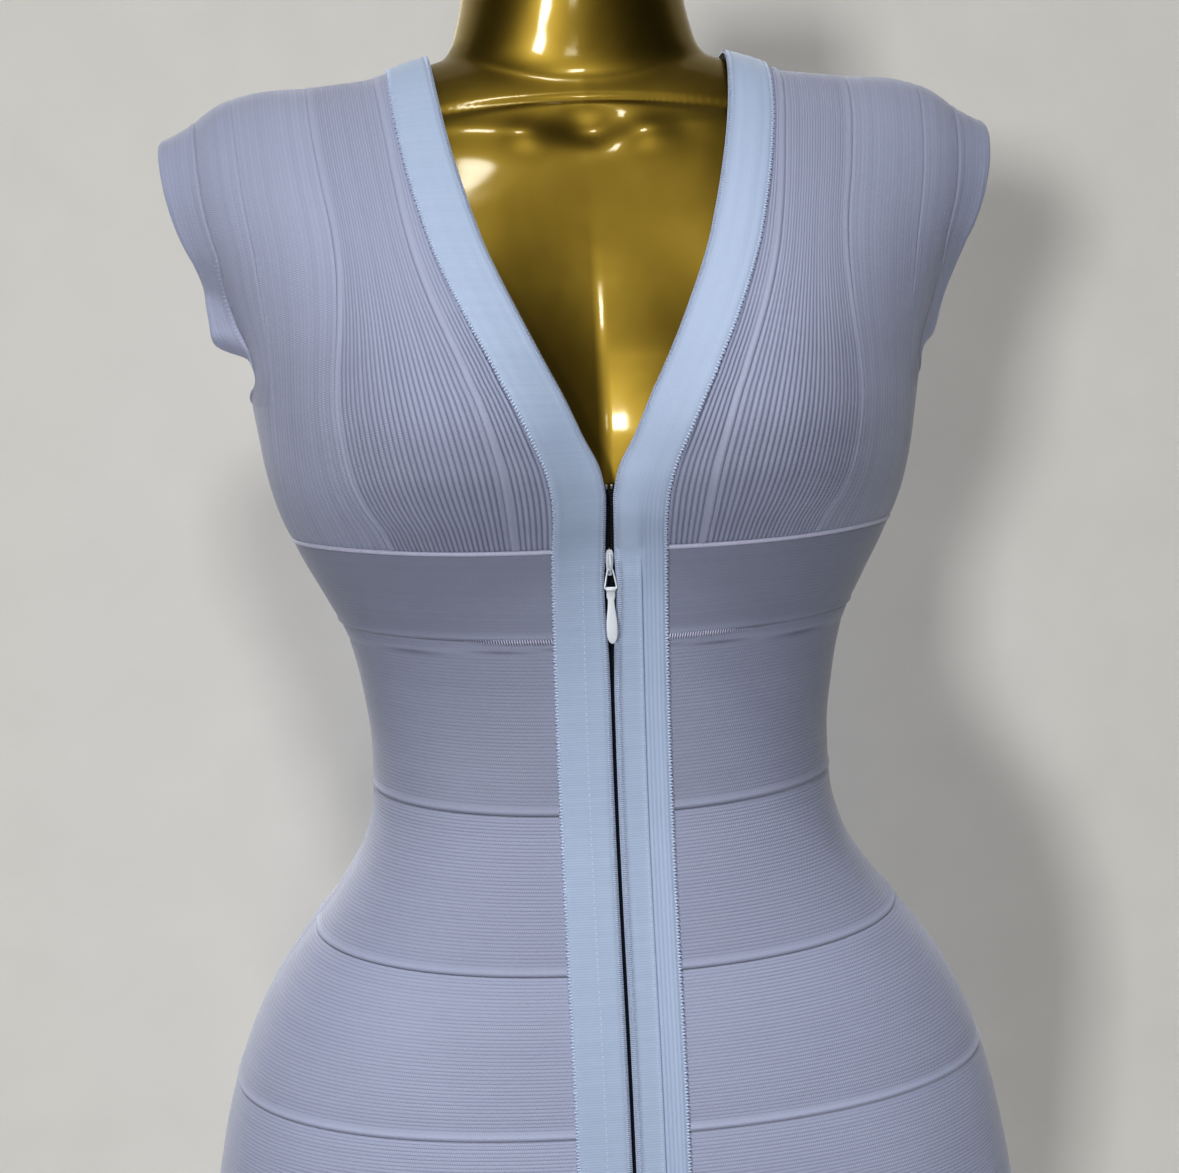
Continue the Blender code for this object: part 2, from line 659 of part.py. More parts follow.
def make_caps(group):
    """The strip round each armhole, standing out as a small cap sleeve."""
    loop = armhole_loop()
    normals = normals_of(loop)
    along = np.roll(loop, -1, axis=0) - np.roll(loop, 1, axis=0)
    outward = np.cross(normals, along)
    outward /= np.linalg.norm(outward, axis=1)[:, None]
    outward *= np.sign(outward @ np.array(CAP_SIDE))[:, None]
    heights = loop[:, 2]
    share = (heights - heights.min()) / (heights.max() - heights.min())
    reach = smooth(CAP, "share", "reach", share)[:, None]
    flare = np.array([1.0, 0.0, 0.0]) * reach * CAP_FLARE
    rings = [loop + outward * SEAM_GAP * 1.5]
    for part in (0.5, 1.0):
        rings.append(loop + outward * reach * part + flare * part * part)
    grid = np.stack(rings, axis=1)
    sheet = grid_normals(grid, True)
    sheet *= np.sign(np.sum(sheet * normals[:, None, :], axis=2))[:, :, None]
    sheet[:, 0] = normals
    flip = np.array([-1.0, 1.0, 1.0])
    wall("cap_left", "knit", group, grid * flip, normals=sheet * flip, closed=True)
    wall("cap_right", "knit", group, grid, normals=sheet, closed=True)


# ---------------------------------------------------------------------- the zip
def front_frame(height, lift):
    """A point on the middle line of the front, with the way out and the way up."""
    near = at_reach([0.0, 0.0], height, 0)
    out = normals_of(near[:1])[0]
    above = at_reach([0.0], height + 0.01, 0)[0]
    up = above - near[0]
    up = up - out * np.dot(up, out)
    return near[0] + out * lift, out, up / np.linalg.norm(up)


def make_chain(group):
    """The two halves of the chain, parted above the slider, with a stop on each."""
    levels = [ZIP_TOP, STATIONS[2].height, STATIONS[1].height] + band_heights()
    grid = []
    for z in levels:
        free = np.clip((z - SLIDER_TOP + CHAIN_MEET) / CHAIN_MEET, 0, 1)
        inner = SEAM_GAP / 2 + CHAIN_PART * free
        grid.append(at_reach([inner, inner + CHAIN_WIDTH], z, 0))
    both_sides("zip_chain", "zip_tape", group, grid, lift=CHAIN_INNER, thick=CHAIN_THICK)
    for side, name in ((-1, "zip_stop_left"), (1, "zip_stop_right")):
        build = bmesh.new()
        frame = frame_matrix(ZIP_TOP + SEAM_GAP + STOP_SIZE[2] / 2, STOP_SIZE[1] / 2 + CHAIN_INNER)
        across = side * (CHAIN_PART + SEAM_GAP + STOP_SIZE[0] / 2)
        box(build, STOP_SIZE, frame @ Matrix.Translation((across, 0, 0)))
        bmesh.ops.bevel(build, geom=build.edges[:], offset=STOP_BEVEL, segments=1,
                        affect="EDGES", profile=0.5)
        finish(name, "steel", group, build)


def finish(name, slot, group, build):
    """Turn a bmesh into a named piece, facing out."""
    if build.calc_volume(signed=True) < 0:
        bmesh.ops.reverse_faces(build, faces=build.faces)
    mesh = bpy.data.meshes.new(name)
    build.to_mesh(mesh)
    build.free()
    mesh.shade_smooth()
    mesh.set_sharp_from_angle(angle=CREASE)
    return add_object(name, mesh, slot, group)


def swept(build, frames, section, closed):
    """Sweep a closed section through frames, each a 4x4 matrix."""
    rings = [[build.verts.new(frame @ Vector(p)) for p in section] for frame in frames]
    turns = len(rings) if closed else len(rings) - 1
    count = len(section)
    for r in range(turns):
        a, b = rings[r], rings[(r + 1) % len(rings)]
        for k in range(count):
            build.faces.new((a[k], b[k], b[(k + 1) % count], a[(k + 1) % count]))
    if not closed:
        build.faces.new(rings[0])
        build.faces.new(list(reversed(rings[-1])))


def make_slider(group, scrap):
    """Two plates either side of the chain, joined by a post, with a bridge."""
    middle = SLIDER_TOP - SLIDER_PLATE[2] / 2
    frame = frame_matrix(middle, 0.0)
    low = CHAIN_INNER - SEAM_GAP - SLIDER_PLATE[1] / 2
    high = CHAIN_INNER + CHAIN_THICK + SEAM_GAP + SLIDER_PLATE[1] / 2

    def plate(lift):
        return lambda build: box(build, SLIDER_PLATE, frame @ Matrix.Translation((0, lift, 0)))

    def post(build):
        up = SLIDER_PLATE[2] / 2 - POST_LENGTH
        size = (POST_WIDTH, high - low, POST_LENGTH)
        box(build, size, frame @ Matrix.Translation((0, (high + low) / 2, up)))

    def bridge(build):
        half, thick = BRIDGE_WIDTH / 2, BRIDGE_THICK / 2
        section = ((-half, 0, -thick), (half, 0, -thick), (half, 0, thick), (-half, 0, thick))
        frames = []
        for angle in np.linspace(0, math.pi, 13):
            centre = (0, high + BRIDGE_RISE * math.sin(angle), BRIDGE_SPAN / 2 * math.cos(angle))
            turn = Matrix.Rotation(math.pi - angle, 4, "X")
            frames.append(frame @ Matrix.Translation(centre) @ turn)
        swept(build, frames, section, False)

    union_of("zip_slider", "enamel", group, (plate(high), plate(low), post, bridge), scrap)


def circle(radius, sides):
    """A round section across y and z."""
    turns = [2 * math.pi * k / sides for k in range(sides)]
    return [(0.0, radius * math.cos(t), radius * math.sin(t)) for t in turns]


def make_pull(group, scrap):
    """The wire ring and the drop, each turning about its own axis along X."""
    point = front_frame(RING_AXIS_HEIGHT, RING_AXIS_LIFT)[0]
    axis = Vector(point)
    path = []
    for k, corner in enumerate(RING_CORNERS):
        here, last, after = (Vector((c.x, 0, c.z)) for c in
                             (corner, RING_CORNERS[k - 1], RING_CORNERS[(k + 1) % 4]))
        start = here + (last - here).normalized() * corner.cut
        end = here + (after - here).normalized() * corner.cut
        path.extend([start, here.lerp((start + end) / 2, corner.rounding), end])
    frames = []
    for k, here in enumerate(path):
        ahead = (path[(k + 1) % len(path)] - path[k - 1]).normalized()
        side = Vector((0, 1, 0))
        third = ahead.cross(side)
        turn = Matrix((ahead, side, third)).transposed().to_4x4()
        frames.append(Matrix.Translation(here) @ turn)
    build = bmesh.new()
    swept(build, frames, circle(WIRE_RADIUS, 8), True)
    ring = finish("zip_ring", "enamel", group, build)
    ring.location = axis

    foot = axis + Vector((0, 0, -RING_LENGTH))

    def barrel(build):
        half = BARREL_WIDTH / 2
        section = ((half, BARREL_INNER, 0), (half, BARREL_OUTER, 0),
                   (-half, BARREL_OUTER, 0), (-half, BARREL_INNER, 0))
        frames = [Matrix.Rotation(2 * math.pi * k / 16, 4, "X") for k in range(16)]
        swept(build, frames, section, True)

    def drop(build):
        back, face = BARREL_OUTER, BARREL_OUTER - PULL_THICK
        frames = [Matrix.Translation((0, 0, -row.down)) @ Matrix.Diagonal((row.half, 1, 1, 1))
                  for row in DROP]
        section = ((-1, back, 0), (-FACE_SHARE, face, 0), (FACE_SHARE, face, 0), (1, back, 0))
        swept(build, frames, section, False)

    pull = union_of("zip_pull", "enamel", group, (barrel, drop), scrap)
    pull.location = foot
    for piece in scrap.objects:
        if piece.name.startswith("zip_pull"):
            piece.location = foot


def box(build, size, matrix):
    """Add a closed box to a bmesh."""
    made = bmesh.ops.create_cube(build, size=1.0)
    scale = Matrix.Diagonal((*size, 1.0))
    bmesh.ops.transform(build, matrix=matrix @ scale, verts=made["verts"])


def frame_matrix(height, lift):
    """A frame on the front: x across, y out of the cloth, z up."""
    point, out, up = front_frame(height, lift)
    across = np.cross(out, up)
    matrix = Matrix((Vector(across), Vector(out), Vector(up))).transposed().to_4x4()
    matrix.translation = Vector(point)
    return matrix


def union_of(name, slot, group, makers, scrap):
    """One closed piece from several overlapping solids."""
    pieces = []
    for index, make in enumerate(makers):
        build = bmesh.new()
        make(build)
        bmesh.ops.recalc_face_normals(build, faces=build.faces)
        mesh = bpy.data.meshes.new(name if index == 0 else name + "_part")
        build.to_mesh(mesh)
        build.free()
        piece = add_object(mesh.name, mesh, slot, group if index == 0 else scrap)
        pieces.append(piece)
    for cutter in pieces[1:]:
        cutter.hide_render = True
        cutter.display_type = "WIRE"
        join = pieces[0].modifiers.new("join", "BOOLEAN")
        join.operation = "UNION"
        join.object = cutter
    return pieces[0]


def make_form(group):
    """The smooth form that the dress is on: torso, flat arms and neck."""
    origins, rays = [], []
    turns = np.linspace(0, 2 * math.pi, FORM_SIDES, endpoint=False)
    for z in FORM_LEVELS:
        for turn in turns:
            origins.append((0, 0, z))
            rays.append((math.sin(turn), -math.cos(turn), 0))
    for lift in FORM_LIFTS:
        angle = math.radians(lift)
        for turn in turns:
            origins.append((0, 0, FORM_FAN))
            rays.append((math.sin(turn) * math.cos(angle), -math.cos(turn) * math.cos(angle),
                         math.sin(angle)))
    points = cast(np.array(origins, dtype=float), np.array(rays, dtype=float), form_field)
    build = bmesh.new()
    rings = [[build.verts.new(p) for p in ring] for ring in
             points.reshape(-1, FORM_SIDES, 3)]
    for low, high in zip(rings, rings[1:]):
        for k in range(FORM_SIDES):
            n = (k + 1) % FORM_SIDES
            build.faces.new((low[k], low[n], high[n], high[k]))
    build.faces.new(list(reversed(rings[0])))
    build.faces.new(rings[-1])
    finish("form_torso", "gold", group, build)


def turned(name, slot, group, profile, sides):
    """A round piece from a profile of radius and height, top to bottom."""
    mesh = bpy.data.meshes.new(name)
    build = bmesh.new()
    points = [build.verts.new((radius, 0, height)) for radius, height in profile]
    for a, b in zip(points, points[1:]):
        build.edges.new((a, b))
    build.to_mesh(mesh)
    build.free()
    piece = add_object(name, mesh, slot, group)
    screw = piece.modifiers.new("turn", "SCREW")
    screw.steps = sides
    screw.render_steps = sides
    screw.use_merge_vertices = True
    screw.merge_threshold = 0.00001
    return piece


def make_stand(group):
    """The pole, the socket that holds it and the round base plate."""
    top = FORM_BOTTOM - SEAM_GAP
    seat = BASE_HEIGHT + SEAM_GAP
    rim = seat + SOCKET_HEIGHT
    foot = rim + SEAM_GAP
    turned("stand_pole", "steel", group,
           ((0, top), (POLE_RADIUS, top), (POLE_RADIUS, foot), (0, foot)), 24)
    turned("stand_socket", "steel", group,
           ((0, rim), (SOCKET_RADIUS - LIP, rim), (SOCKET_RADIUS, rim - LIP),
            (SOCKET_RADIUS, seat), (0, seat)), 32)
    turned("stand_base", "steel", group,
           ((0, BASE_HEIGHT), (BASE_RADIUS - 2 * LIP, BASE_HEIGHT),
            (BASE_RADIUS - LIP / 2, BASE_HEIGHT - LIP / 2),
            (BASE_RADIUS, BASE_HEIGHT - 2 * LIP), (BASE_RADIUS, LIP / 2),
            (BASE_RADIUS - LIP / 2, 0), (0, 0)), 48)


def main():
    """Build the whole dress on its form."""
    for old in list(bpy.data.objects):
        bpy.data.objects.remove(old, do_unlink=True)
    group = bpy.data.collections.new("bodycon_dress")
    bpy.context.scene.collection.children.link(group)
    scrap = bpy.data.collections.new("cutters")
    bpy.context.scene.collection.children.link(scrap)
    make_rows(group)
    make_front_bodice(group)
    make_back_bodice(group)
    make_front_bands(group)
    make_placket_layer(group)
    make_back_neck_band(group)
    make_caps(group)
    make_chain(group)
    make_slider(group, scrap)
    make_pull(group, scrap)
    make_form(group)
    make_stand(group)


main()
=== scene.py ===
"""Bodycon dress of bandage knit on a gold dress form, laid over its solid model.

Metres, +Z up. The dress faces -Y and +X is the viewer's right. Every piece of
cloth is a closed shell on one smooth body surface, with its ribs counted across
the strip and its length measured along it.
"""
import json
import logging
import math
from dataclasses import dataclass, replace
from enum import Enum
from typing import Callable, Iterable, NamedTuple, Optional, Sequence

import bmesh
import bpy
import numpy as np
from mathutils import Matrix, Vector

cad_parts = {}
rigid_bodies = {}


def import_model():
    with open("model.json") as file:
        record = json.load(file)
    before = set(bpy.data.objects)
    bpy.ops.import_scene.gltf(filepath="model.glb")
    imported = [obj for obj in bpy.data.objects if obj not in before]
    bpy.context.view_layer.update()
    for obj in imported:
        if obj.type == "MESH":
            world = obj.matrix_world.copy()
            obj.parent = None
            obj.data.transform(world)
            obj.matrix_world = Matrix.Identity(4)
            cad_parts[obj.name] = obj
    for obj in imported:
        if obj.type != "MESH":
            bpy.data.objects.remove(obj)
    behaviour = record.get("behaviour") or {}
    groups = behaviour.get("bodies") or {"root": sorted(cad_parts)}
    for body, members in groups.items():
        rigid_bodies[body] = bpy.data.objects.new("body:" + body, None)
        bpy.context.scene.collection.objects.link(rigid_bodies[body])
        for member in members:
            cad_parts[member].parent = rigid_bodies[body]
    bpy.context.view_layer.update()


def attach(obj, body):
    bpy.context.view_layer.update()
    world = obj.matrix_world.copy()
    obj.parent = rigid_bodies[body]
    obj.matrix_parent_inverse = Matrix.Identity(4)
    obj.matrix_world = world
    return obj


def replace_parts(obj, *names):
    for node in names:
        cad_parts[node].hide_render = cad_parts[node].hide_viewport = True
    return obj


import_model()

log = logging.getLogger("dress")
Grid = np.ndarray
Pair = tuple[float, float]
Three = tuple[float, float, float]
Four = tuple[float, float, float, float]
Tree, Socket = bpy.types.NodeTree, bpy.types.NodeSocket
Mesh, Object, Build = bpy.types.Mesh, bpy.types.Object, bmesh.types.BMesh

MM = 0.001
MIRROR = np.array([-1.0, 1.0, 1.0])
SIDES = (("left", -1.0), ("right", 1.0))
GARMENT = "garment"
PULL_RING = "pull_ring"
PULL_TAB = "pull_tab"
FORM_PIECE = "form_lacquer"

# ------------------------------------------------------------ sizes of the cut
KNIT = 1.6 * MM            # thickness of a bandage strip
BAND_KNIT = 1.6 * MM       # thickness of the neck and front bands
LAYER_KNIT = 0.8 * MM      # thickness of the second placket layer
FLOOR_FADE = 0.5           # height over which the floor turns into the wall
SEAM_GAP = 0.06 * MM       # between pieces that are sewn edge to edge
LAYER_GAP = 0.3 * MM       # between a piece and the panel it lies on
BAND_EDGE = 27.5 * MM      # half the width of the two front bands together
LAYER_EDGE = 15.0 * MM     # the second layer's outer edge, from the middle
LAYER_SET_BACK = 0.6 * MM  # how far its free edge stays behind the band's
LAYER_TUCK = 16.0 * MM     # its top goes under the band over this length
CHAIN_EDGE = 3.4 * MM      # where the panels stop beside the zip
BAND_TUCK = 6.0 * MM       # how far a panel runs under the neck band
NECK_EDGE_DIP = 1.4 * MM   # how much closer the neckline lies to the body
NECK_DIP_START = 1.1885    # the heights between which it comes closer
NECK_DIP_END = 1.2185
UNDERBUST = 1.160          # height of the seam under the bust
HEM_HEIGHT = 0.490
RIB_PITCH = 2.3 * MM       # the ribs of the bandage knit
ROW_RIB_PITCH = 1.85 * MM  # the finer ribs of the rows below the bust
WORN_STRETCH = 1.10        # how much longer a strip is worn than it was cut
CROWN_POWER = 0.7          # how square a rib or a plump strip is in section
FOLD_ANGLE = 50.0          # edges sharper than this stay sharp
FAN_HEIGHT = 1.305         # above it, lines turn over the shoulder
FAN_RADIUS = 0.090         # turns a turn over the shoulder into a length


class Section(NamedTuple):
    """One level of the body: half width, depths, and the bust's fullness."""

    height: float
    half: float
    front: float
    back: float
    bust: float


class Ridge(NamedTuple):
    """The shoulder line's height at a distance from the middle."""

    reach: float
    height: float


class Neck(NamedTuple):
    """The form's neck at a height."""

    height: float
    half: float
    depth: float


class Seam(NamedTuple):
    """A seam round the body, and how much higher it is at the side."""

    height: float
    rise: float


class Station(NamedTuple):
    """The bodice's lines at one height, or at one turn over the shoulder."""

    height: float
    turn: float
    inner: float
    outer: float
    seam_1: float
    seam_2: float
    seam_3: float
    side: float


class Share(NamedTuple):
    """A value at a share of a length, or at a height."""

    at: float
    value: float


class Mark(NamedTuple):
    """A soft ridge or groove along an edge: its rise, place and width in millimetres."""

    rise: float
    place: float
    width: float


Marks = tuple[Mark, ...]

SECTIONS = (
    Section(0.480, 0.1840, 0.108, 0.116, 0.0),
    Section(0.600, 0.1990, 0.111, 0.128, 0.0),
    Section(0.700, 0.2110, 0.113, 0.139, 0.0),
    Section(0.790, 0.2165, 0.114, 0.146, 0.0),
    Section(0.845, 0.2080, 0.112, 0.142, 0.0),
    Section(0.885, 0.1975, 0.109, 0.134, 0.0),
    Section(0.920, 0.1815, 0.104, 0.123, 0.0),
    Section(0.950, 0.1612, 0.098, 0.111, 0.0),
    Section(0.975, 0.1412, 0.093, 0.101, 0.0),
    Section(1.000, 0.1265, 0.089, 0.093, 0.0),
    Section(1.025, 0.1203, 0.086, 0.088, 0.0),
    Section(1.055, 0.1192, 0.085, 0.086, 0.0),
    Section(1.085, 0.1225, 0.086, 0.088, 0.0),
    Section(1.110, 0.1280, 0.088, 0.091, 0.0005),
    Section(1.135, 0.1395, 0.091, 0.095, 0.002),
    Section(1.160, 0.1525, 0.094, 0.099, 0.009),
    Section(1.180, 0.1610, 0.096, 0.102, 0.024),
    Section(1.200, 0.1660, 0.097, 0.104, 0.034),
    Section(1.220, 0.1690, 0.098, 0.106, 0.037),
    Section(1.250, 0.1740, 0.098, 0.108, 0.031),
    Section(1.285, 0.1860, 0.096, 0.109, 0.018),
    Section(1.320, 0.2080, 0.092, 0.108, 0.007),
    Section(1.360, 0.2400, 0.087, 0.105, 0.001),
    Section(1.420, 0.2900, 0.080, 0.100, 0.0),
)
RIDGE = (
    Ridge(0.000, 1.4120), Ridge(0.050, 1.4090), Ridge(0.076, 1.4035), Ridge(0.094, 1.3965),
    Ridge(0.110, 1.3925), Ridge(0.135, 1.3900), Ridge(0.158, 1.3885), Ridge(0.175, 1.3850),
    Ridge(0.190, 1.3765), Ridge(0.215, 1.3560), Ridge(0.260, 1.3200),
)
NECK = (
    Neck(1.360, 0.0700, 0.0450), Neck(1.395, 0.0680, 0.0470), Neck(1.415, 0.0615, 0.0505),
    Neck(1.435, 0.0570, 0.0530), Neck(1.460, 0.0550, 0.0530), Neck(1.520, 0.0545, 0.0530),
)
ROW_SEAMS = (
    Seam(UNDERBUST, 0.005), Seam(1.115, 0.006), Seam(1.028, 0.005), Seam(0.951, 0.007),
    Seam(0.874, 0.005), Seam(0.797, 0.003), Seam(0.719, 0.0), Seam(0.641, 0.0),
    Seam(0.563, 0.0), Seam(HEM_HEIGHT, 0.0),
)
ROW_NAMES = ("underbust", "waist", "high_hip", "hip", "seat", "thigh_1", "thigh_2",
             "thigh_3", "hem")
STATIONS = (
    Station(1.160, 0, 0.0023, 0.0275, 0.0465, 0.1025, 0.1455, 0.1525),
    Station(1.172, 0, 0.0023, 0.0272, 0.0480, 0.1075, 0.1505, 0.1580),
    Station(1.184, 0, 0.0023, 0.0278, 0.0495, 0.1150, 0.1540, 0.1622),
    Station(1.197, 0, 0.0045, 0.0305, 0.0517, 0.1203, 0.1562, 0.1655),
    Station(1.214, 0, 0.0125, 0.0375, 0.0560, 0.1235, 0.1570, 0.1682),
    Station(1.233, 0, 0.0210, 0.0465, 0.0620, 0.1250, 0.1570, 0.1709),
    Station(1.239, 0, 0.0240, 0.0495, 0.0645, 0.1247, 0.1569, 0.1690),
    Station(1.247, 0, 0.0280, 0.0530, 0.0675, 0.1243, 0.1568, 0.1655),
    Station(1.260, 0, 0.0342, 0.0594, 0.0728, 0.1230, 0.1572, 0.1680),
    Station(1.275, 0, 0.0410, 0.0662, 0.0787, 0.1220, 0.1582, 0.1740),
    Station(1.290, 0, 0.0475, 0.0725, 0.0838, 0.1218, 0.1600, 0.1782),
    Station(1.305, 0, 0.0532, 0.0780, 0.0880, 0.1228, 0.1617, 0.1800),
    Station(FAN_HEIGHT, 12, 0.0585, 0.0828, 0.0916, 0.1250, 0.1638, 0.1825),
    Station(FAN_HEIGHT, 25, 0.0630, 0.0868, 0.0943, 0.1280, 0.1660, 0.1852),
    Station(FAN_HEIGHT, 39, 0.0670, 0.0900, 0.0968, 0.1308, 0.1680, 0.1873),
    Station(FAN_HEIGHT, 54, 0.0705, 0.0927, 0.0995, 0.1335, 0.1700, 0.1890),
    Station(FAN_HEIGHT, 69, 0.0732, 0.0943, 0.1018, 0.1355, 0.1722, 0.1905),
    Station(FAN_HEIGHT, 84, 0.0750, 0.0950, 0.1033, 0.1370, 0.1738, 0.1915),
    Station(FAN_HEIGHT, 99, 0.0755, 0.0950, 0.1040, 0.1375, 0.1745, 0.1920),
)
UNDERARM = 1.233           # the armhole starts at this height
SEAM_TURN_END = 99.0       # the shoulder seam's turn
CAP_REACH = (
    Share(0.00, 0.0030), Share(0.10, 0.0055), Share(0.22, 0.0150), Share(0.32, 0.0125),
    Share(0.45, 0.0150), Share(0.65, 0.0165), Share(1.00, 0.0180),
)
ZIP_GAP = (
    Share(0.480, 0.0009), Share(1.085, 0.0009), Share(1.115, 0.0015), Share(1.130, 0.0025),
    Share(1.145, 0.0028), Share(1.160, 0.0023), Share(1.200, 0.0023),
)


# ------------------------------------------------------------------- smooth maths
def smooth(rows: Sequence, key: str, value: str, at: Grid) -> Grid:
    """Read one column of a table anywhere, on a monotone cubic.

    Args:
        rows: The table's rows, rising in key.
        key: Name of the column that is looked up.
        value: Name of the column that is read.
        at: Where to read it.

    Returns:
        The values, in the shape of at.
    """
    xs = np.array([getattr(row, key) for row in rows], dtype=float)
    ys = np.array([getattr(row, value) for row in rows], dtype=float)
    return cubic(xs, ys, at)


def cubic(xs: Grid, ys: Grid, at: Grid) -> Grid:
    """Monotone cubic through points.

    Args:
        xs: Rising positions.
        ys: Values there.
        at: Where to read it.

    Returns:
        The values, in the shape of at.
    """
    steps = np.diff(xs)
    slopes = np.diff(ys) / steps
    product = slopes[:-1] * slopes[1:]
    total = slopes[:-1] + slopes[1:]
    inner = np.where(product > 0, 2 * product / np.where(total == 0, 1, total), 0.0)
    tangents = np.concatenate(([slopes[0]], inner, [slopes[-1]]))
    at = np.clip(np.asarray(at, dtype=float), xs[0], xs[-1])
    i = np.clip(np.searchsorted(xs, at) - 1, 0, len(xs) - 2)
    t = (at - xs[i]) / steps[i]
    start = (1 + 2 * t) * (1 - t) ** 2 * ys[i] + t * (1 - t) ** 2 * steps[i] * tangents[i]
    end = t * t * (3 - 2 * t) * ys[i + 1] + t * t * (t - 1) * steps[i] * tangents[i + 1]
    return start + end


def bump_of(distance: Grid, centre: float, width: float) -> Grid:
    """A soft ridge of height 1 at a distance from an edge."""
    return np.exp(-(((distance - centre) / width) ** 2))


def marks(distance: Grid, rows: Sequence[Mark]) -> Grid:
    """The sum of the marks at a distance from their edge, a rise of 1 giving 1."""
    return sum(rise * bump_of(distance, place * MM, width * MM) for rise, place, width in rows)


def ring_eased(values: Grid, times: int) -> Grid:
    """Values round a closed ring, averaged with their neighbours a number of times."""
    for _ in range(times):
        values = (np.roll(values, 1, axis=0) + 2 * values + np.roll(values, -1, axis=0)) / 4
    return values


def ease(value: Grid, low: float, high: float) -> Grid:
    """Rise smoothly from 0 at low to 1 at high."""
    share = np.clip((np.asarray(value, dtype=float) - low) / (high - low), 0, 1)
    return share * share * (3 - 2 * share)


def unit(vectors: Grid) -> Grid:
    """The same vectors, one long."""
    return vectors / np.maximum(np.linalg.norm(vectors, axis=-1, keepdims=True), 1e-12)


@dataclass
class Body:
    """The smooth surface that the cloth lies on, and the form inside it."""

    side_roundness: float = 2.45
    bust_centre: float = 0.083
    bust_outer: float = 0.058
    bust_inner: float = 0.082
    form_bust_inner: float = 0.056
    form_inset: float = 0.0024
    arch_foot: float = 1.190
    arch_power: float = 2.5
    arm_plate: float = 0.1745
    neck_top: float = 1.495
    neck_centre_y: float = 0.002
    neck_blend: float = 18.0
    bisections: int = 26
    reach: float = 0.45

    def field(self, points: Grid, inset: float = 0.0, bust_inner: Optional[float] = None) -> Grid:
        """Negative inside the worn shape, positive outside it.

        Args:
            points: Positions, one a row.
            inset: How much smaller the shape is made.
            bust_inner: Width of the bust's fall towards the middle.

        Returns:
            One number a point.
        """
        x, y, z = points[:, 0], points[:, 1], points[:, 2]
        half = smooth(SECTIONS, "height", "half", z) - inset
        front = smooth(SECTIONS, "height", "front", z) - inset
        back = smooth(SECTIONS, "height", "back", z) - inset
        bust = smooth(SECTIONS, "height", "bust", z)
        off = np.abs(x) - self.bust_centre
        width = np.where(off > 0, self.bust_outer, bust_inner or self.bust_inner)
        depth = np.where(y < 0, front + bust * np.exp(-((off / width) ** 2)), back)
        crown = smooth(RIDGE, "reach", "height", np.abs(x)) - inset
        rise = np.clip((z - self.arch_foot) / (crown - self.arch_foot), 0.0, None)
        beside = 1.0 - np.abs(x / half) ** self.side_roundness
        below = 1.0 - rise ** self.arch_power
        within = (beside > 0) & (below > 0)
        room = np.where(within, beside * below, np.minimum(beside, below))
        return np.abs(y / depth) ** self.side_roundness - room

    def form_field(self, points: Grid) -> Grid:
        """The dress form: the body with a neck, cut flat at the arms."""
        torso = self.field(points, self.form_inset, self.form_bust_inner)
        at_arm = points[:, 2] > self.arch_foot
        torso = torso + np.where(at_arm, np.abs(points[:, 0] / self.arm_plate) ** 40, 0.0)
        x, y, z = points[:, 0], points[:, 1] - self.neck_centre_y, points[:, 2]
        half = smooth(NECK, "height", "half", z)
        depth = smooth(NECK, "height", "depth", z)
        top = np.clip((z - self.arch_foot) / (self.neck_top - self.arch_foot), 0, None) ** 60
        neck = (x / half) ** 2 + (y / depth) ** 2 + top - 1.0
        return -np.log(np.exp(-self.neck_blend * np.clip(torso, -1, 9))
                       + np.exp(-self.neck_blend * np.clip(neck, -1, 9))) / self.neck_blend

    def cast(self, origins: Grid, rays: Grid, surface: Optional[Callable] = None) -> Grid:
        """Where rays from inside leave a surface.

        Args:
            origins: Start points inside it.
            rays: Unit directions.
            surface: The field to leave, or the worn shape's own.

        Returns:
            Points on the surface, in the shape of origins.
        """
        surface = surface or self.field
        shape = origins.shape
        origins, rays = origins.reshape(-1, 3), rays.reshape(-1, 3)
        near, far = np.zeros(len(origins)), np.full(len(origins), self.reach)
        for _ in range(self.bisections):
            middle = (near + far) / 2
            inside = surface(origins + rays * middle[:, None]) < 0
            near, far = np.where(inside, middle, near), np.where(inside, far, middle)
        return (origins + rays * near[:, None]).reshape(shape)

    def normals(self, points: Grid, surface: Optional[Callable] = None) -> Grid:
        """Outward unit normals at points of a surface."""
        surface, step = surface or self.field, 0.0004
        flat = points.reshape(-1, 3)
        slopes = [surface(flat + axis * step) - surface(flat - axis * step) for axis in np.eye(3)]
        return unit(np.stack(slopes, axis=1)).reshape(points.shape)

    def at_angle(self, angles: Grid, heights: Grid) -> Grid:
        """Points round the body; 0 is the front and 90 degrees the side at +X."""
        angles, heights = np.broadcast_arrays(np.radians(angles), heights)
        zero = np.zeros_like(angles)
        origins = np.stack([zero, zero, heights], axis=-1)
        rays = np.stack([np.sin(angles), -np.cos(angles), zero], axis=-1)
        return self.cast(origins, rays)

    def at_reach(self, xs: Grid, heights: Grid, turns: Grid) -> Grid:
        """Points straight ahead of each x, turned up by degrees."""
        xs, heights, turns = np.broadcast_arrays(xs, heights, np.radians(turns))
        zero = np.zeros_like(xs)
        origins = np.stack([xs, zero, heights], axis=-1)
        rays = np.stack([zero, -np.cos(turns), np.sin(turns)], axis=-1)
        return self.cast(origins, rays)

    def half_width(self, heights: Grid) -> Grid:
        """Half the body's width at heights."""
        return smooth(SECTIONS, "height", "half", heights)

    def side_angle(self, xs: Grid, heights: Grid) -> Grid:
        """The angle round the body of points on the front at x."""
        points = self.at_reach(xs, heights, 0.0)
        return np.degrees(np.arctan2(points[..., 0], -points[..., 1]))

